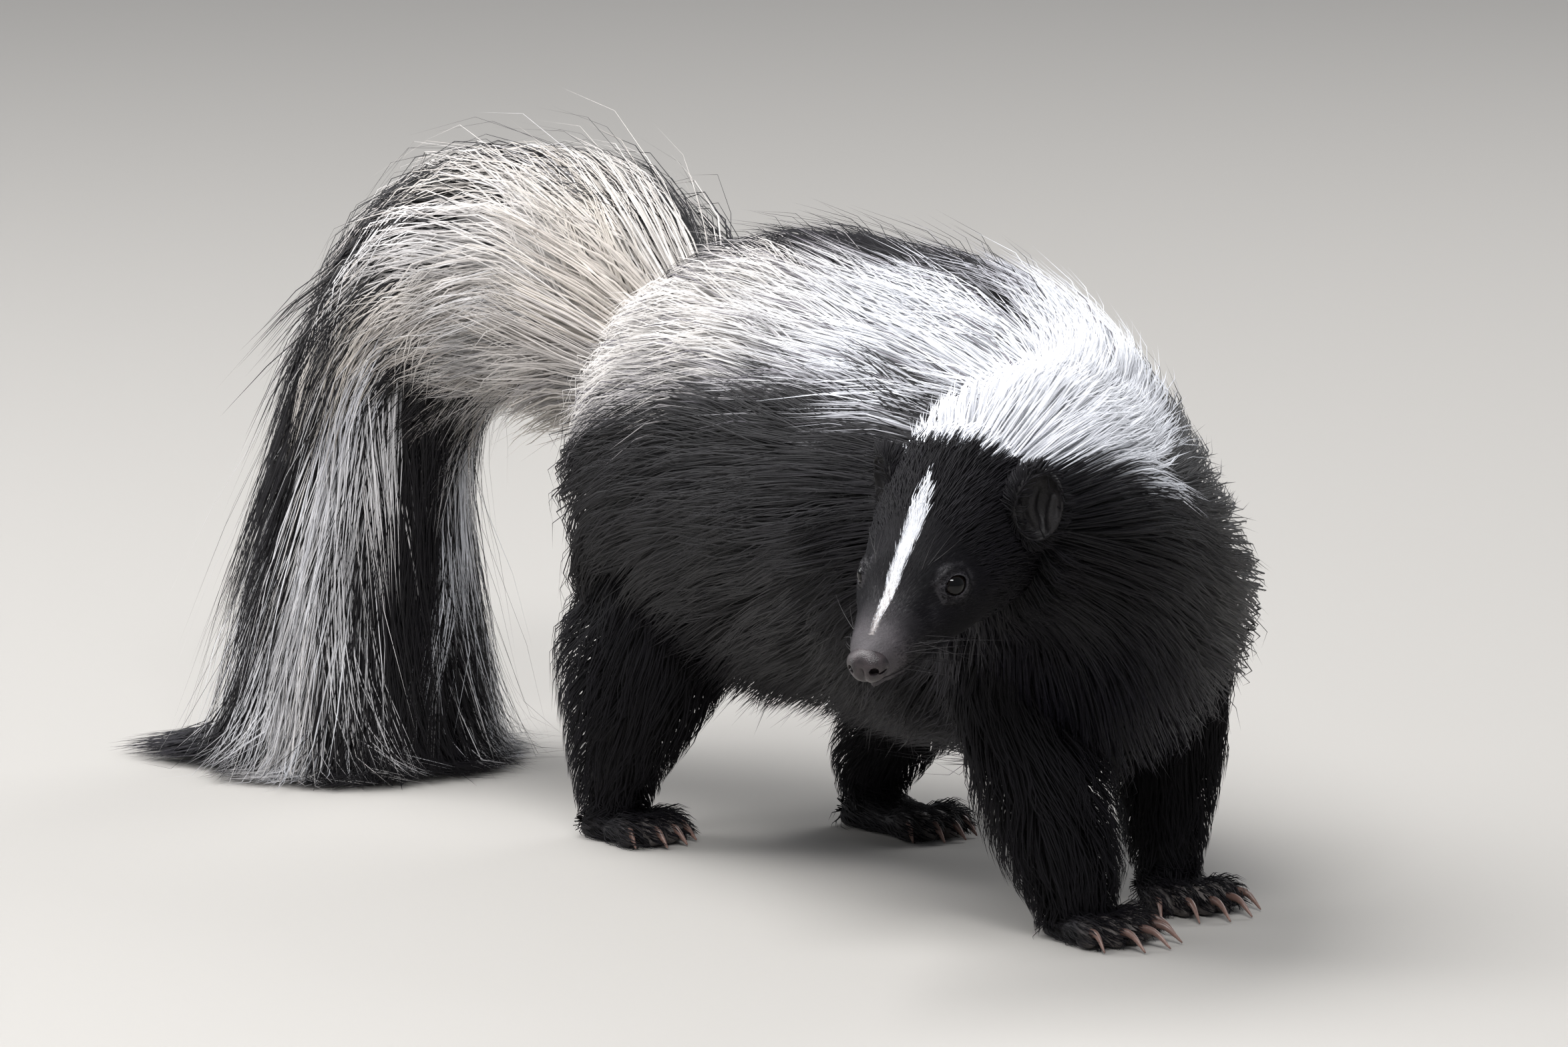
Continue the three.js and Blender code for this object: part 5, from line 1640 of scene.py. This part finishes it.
        place, normal = mesh_roots(chosen, count, dice)
        a = math.radians(turn)
        forward = (place - np.array((*at, 0))) @ np.array((math.cos(a), math.sin(a), 0))
        way = np.tile((math.cos(a), math.sin(a), -0.25), (count, 1))
        long = (8.0 - 4.2 * ease(forward, palm, kind["toe"])) * uneven(dice, count, 0.2)
        lift = np.full(count, 0.3)
        path, out = short_coat(place, normal, way, long, lift, 14.0, 2, dice, count // 7, 0.3)
        colours = plain_black(coat, 1, count, 2, dice)
        wide = coat.face_width * 1100 * (0.75 + 0.5 * dice.random(count))
        uv = np.stack([np.clip((forward + 14) / 60, 0, 1) * 0.99, (place[:, 2] / 16) * 0.99], -1)
        tufts = (path, out, wide, colours, uv)
        keep = forward < palm + kind["toe"] * 0.95
        material = finish_of(face_material)
        blades(f"coat_foot_{name}", tufts, keep, (0.9, 0.8), material, 0.6, PLUSH)


class SKUNK_OT_whiskers(bpy.types.Operator):
    """Stiff dark whiskers on the muzzle, and a few over the eyes."""

    bl_idname = "skunk.whiskers"
    bl_label = "Whiskers"

    def execute(self, context):
        dice = np.random.default_rng(SEED + 4)
        paths = []
        t = steps(0, 1, 6)
        for _, sign in SIDES:
            for i in range(context.scene.skunk_face.whiskers):
                back = 9 + 2.6 * (i % 5) + dice.random()
                height = 0.5 - 2.4 * (i // 5) + dice.random() * 0.6
                root = np.array((-back, face_width(back, height) * sign * 0.96, height))
                aside = (0.45 + 0.45 * dice.random()) * sign
                way = unit((-0.45 - 0.5 * dice.random(), aside, -0.2 + 0.3 * dice.standard_normal()))
                long = 12 + 12 * dice.random()
                line = root + way * long * t[:, None]
                line[:, 0] -= 5 * t**2
                line[:, 2] -= 4.5 * t**2
                paths.append(in_head(line))
            for i in range(3):
                root = np.array((-31 - 2.2 * i, (7.6 + 0.9 * i) * sign, 15.5))
                way = unit((-0.7, (0.1 + 0.3 * i) * sign, 0.6 - 0.12 * i))
                line = root + way * (8 + 3 * dice.random()) * t[:, None]
                line[:, 0] -= 4 * t**2
                paths.append(in_head(line))
        path = np.array(paths)
        count = len(path)
        out = np.tile(AXES[2], (count, 7, 1))
        root = np.tile(tint("#151214"), (count, 1))
        colours = shades(root, root * 1.6, 6, dice, 0.2)
        uv = np.stack([(np.arange(count) % 8 + 0.5) / 8, (np.arange(count) // 8 + 0.5) / 8], -1)
        tufts = (path, out, np.full(count, 0.09), colours, uv)
        taper = (1, 0.95, 0.85, 0.7, 0.5, 0.3)
        blades("whiskers", tufts, ALL, taper, finish_of(coat_material), 1)
        return {"FINISHED"}


class SKUNK_PT_panel(bpy.types.Panel):
    """The pieces in the order in which they are made."""

    bl_label = "Striped skunk"
    bl_idname = "SKUNK_PT_panel"
    bl_space_type = "VIEW_3D"
    bl_region_type = "UI"
    bl_category = "Skunk"

    def draw(self, context):
        column = self.layout.column()
        for operator in OPERATORS:
            column.operator(operator.bl_idname)
        for group in ("skunk_coat", "skunk_face", "skunk_stage"):
            values = getattr(context.scene, group)
            for key in type(values).__annotations__:
                column.prop(values, key)


OPERATORS = (
    SKUNK_OT_stage,
    SKUNK_OT_skin,
    SKUNK_OT_eyes,
    SKUNK_OT_nose,
    SKUNK_OT_claws,
    SKUNK_OT_short_coat,
    SKUNK_OT_trunk_coat,
    SKUNK_OT_tail_coat,
    SKUNK_OT_leg_coat,
    SKUNK_OT_whiskers,
)
GROUPS = (
    ("skunk_coat", SkunkCoat),
    ("skunk_face", SkunkFace),
    ("skunk_stage", SkunkStage),
)


def register():
    for key, group in GROUPS:
        bpy.utils.register_class(group)
        setattr(bpy.types.Scene, key, PointerProperty(type=group))
    for operator in OPERATORS:
        bpy.utils.register_class(operator)
    bpy.utils.register_class(SKUNK_PT_panel)


def unregister():
    bpy.utils.unregister_class(SKUNK_PT_panel)
    for operator in reversed(OPERATORS):
        bpy.utils.unregister_class(operator)
    for key, group in reversed(GROUPS):
        delattr(bpy.types.Scene, key)
        bpy.utils.unregister_class(group)


def main():
    register()
    bpy.ops.skunk.stage()
    bpy.ops.skunk.skin()
    bpy.ops.skunk.eyes()
    bpy.ops.skunk.nose()
    bpy.ops.skunk.claws()
    bpy.ops.skunk.short_coat()
    bpy.ops.skunk.trunk_coat()
    bpy.ops.skunk.tail_coat()
    bpy.ops.skunk.leg_coat()
    bpy.ops.skunk.whiskers()


if __name__ == "__main__":
    main()
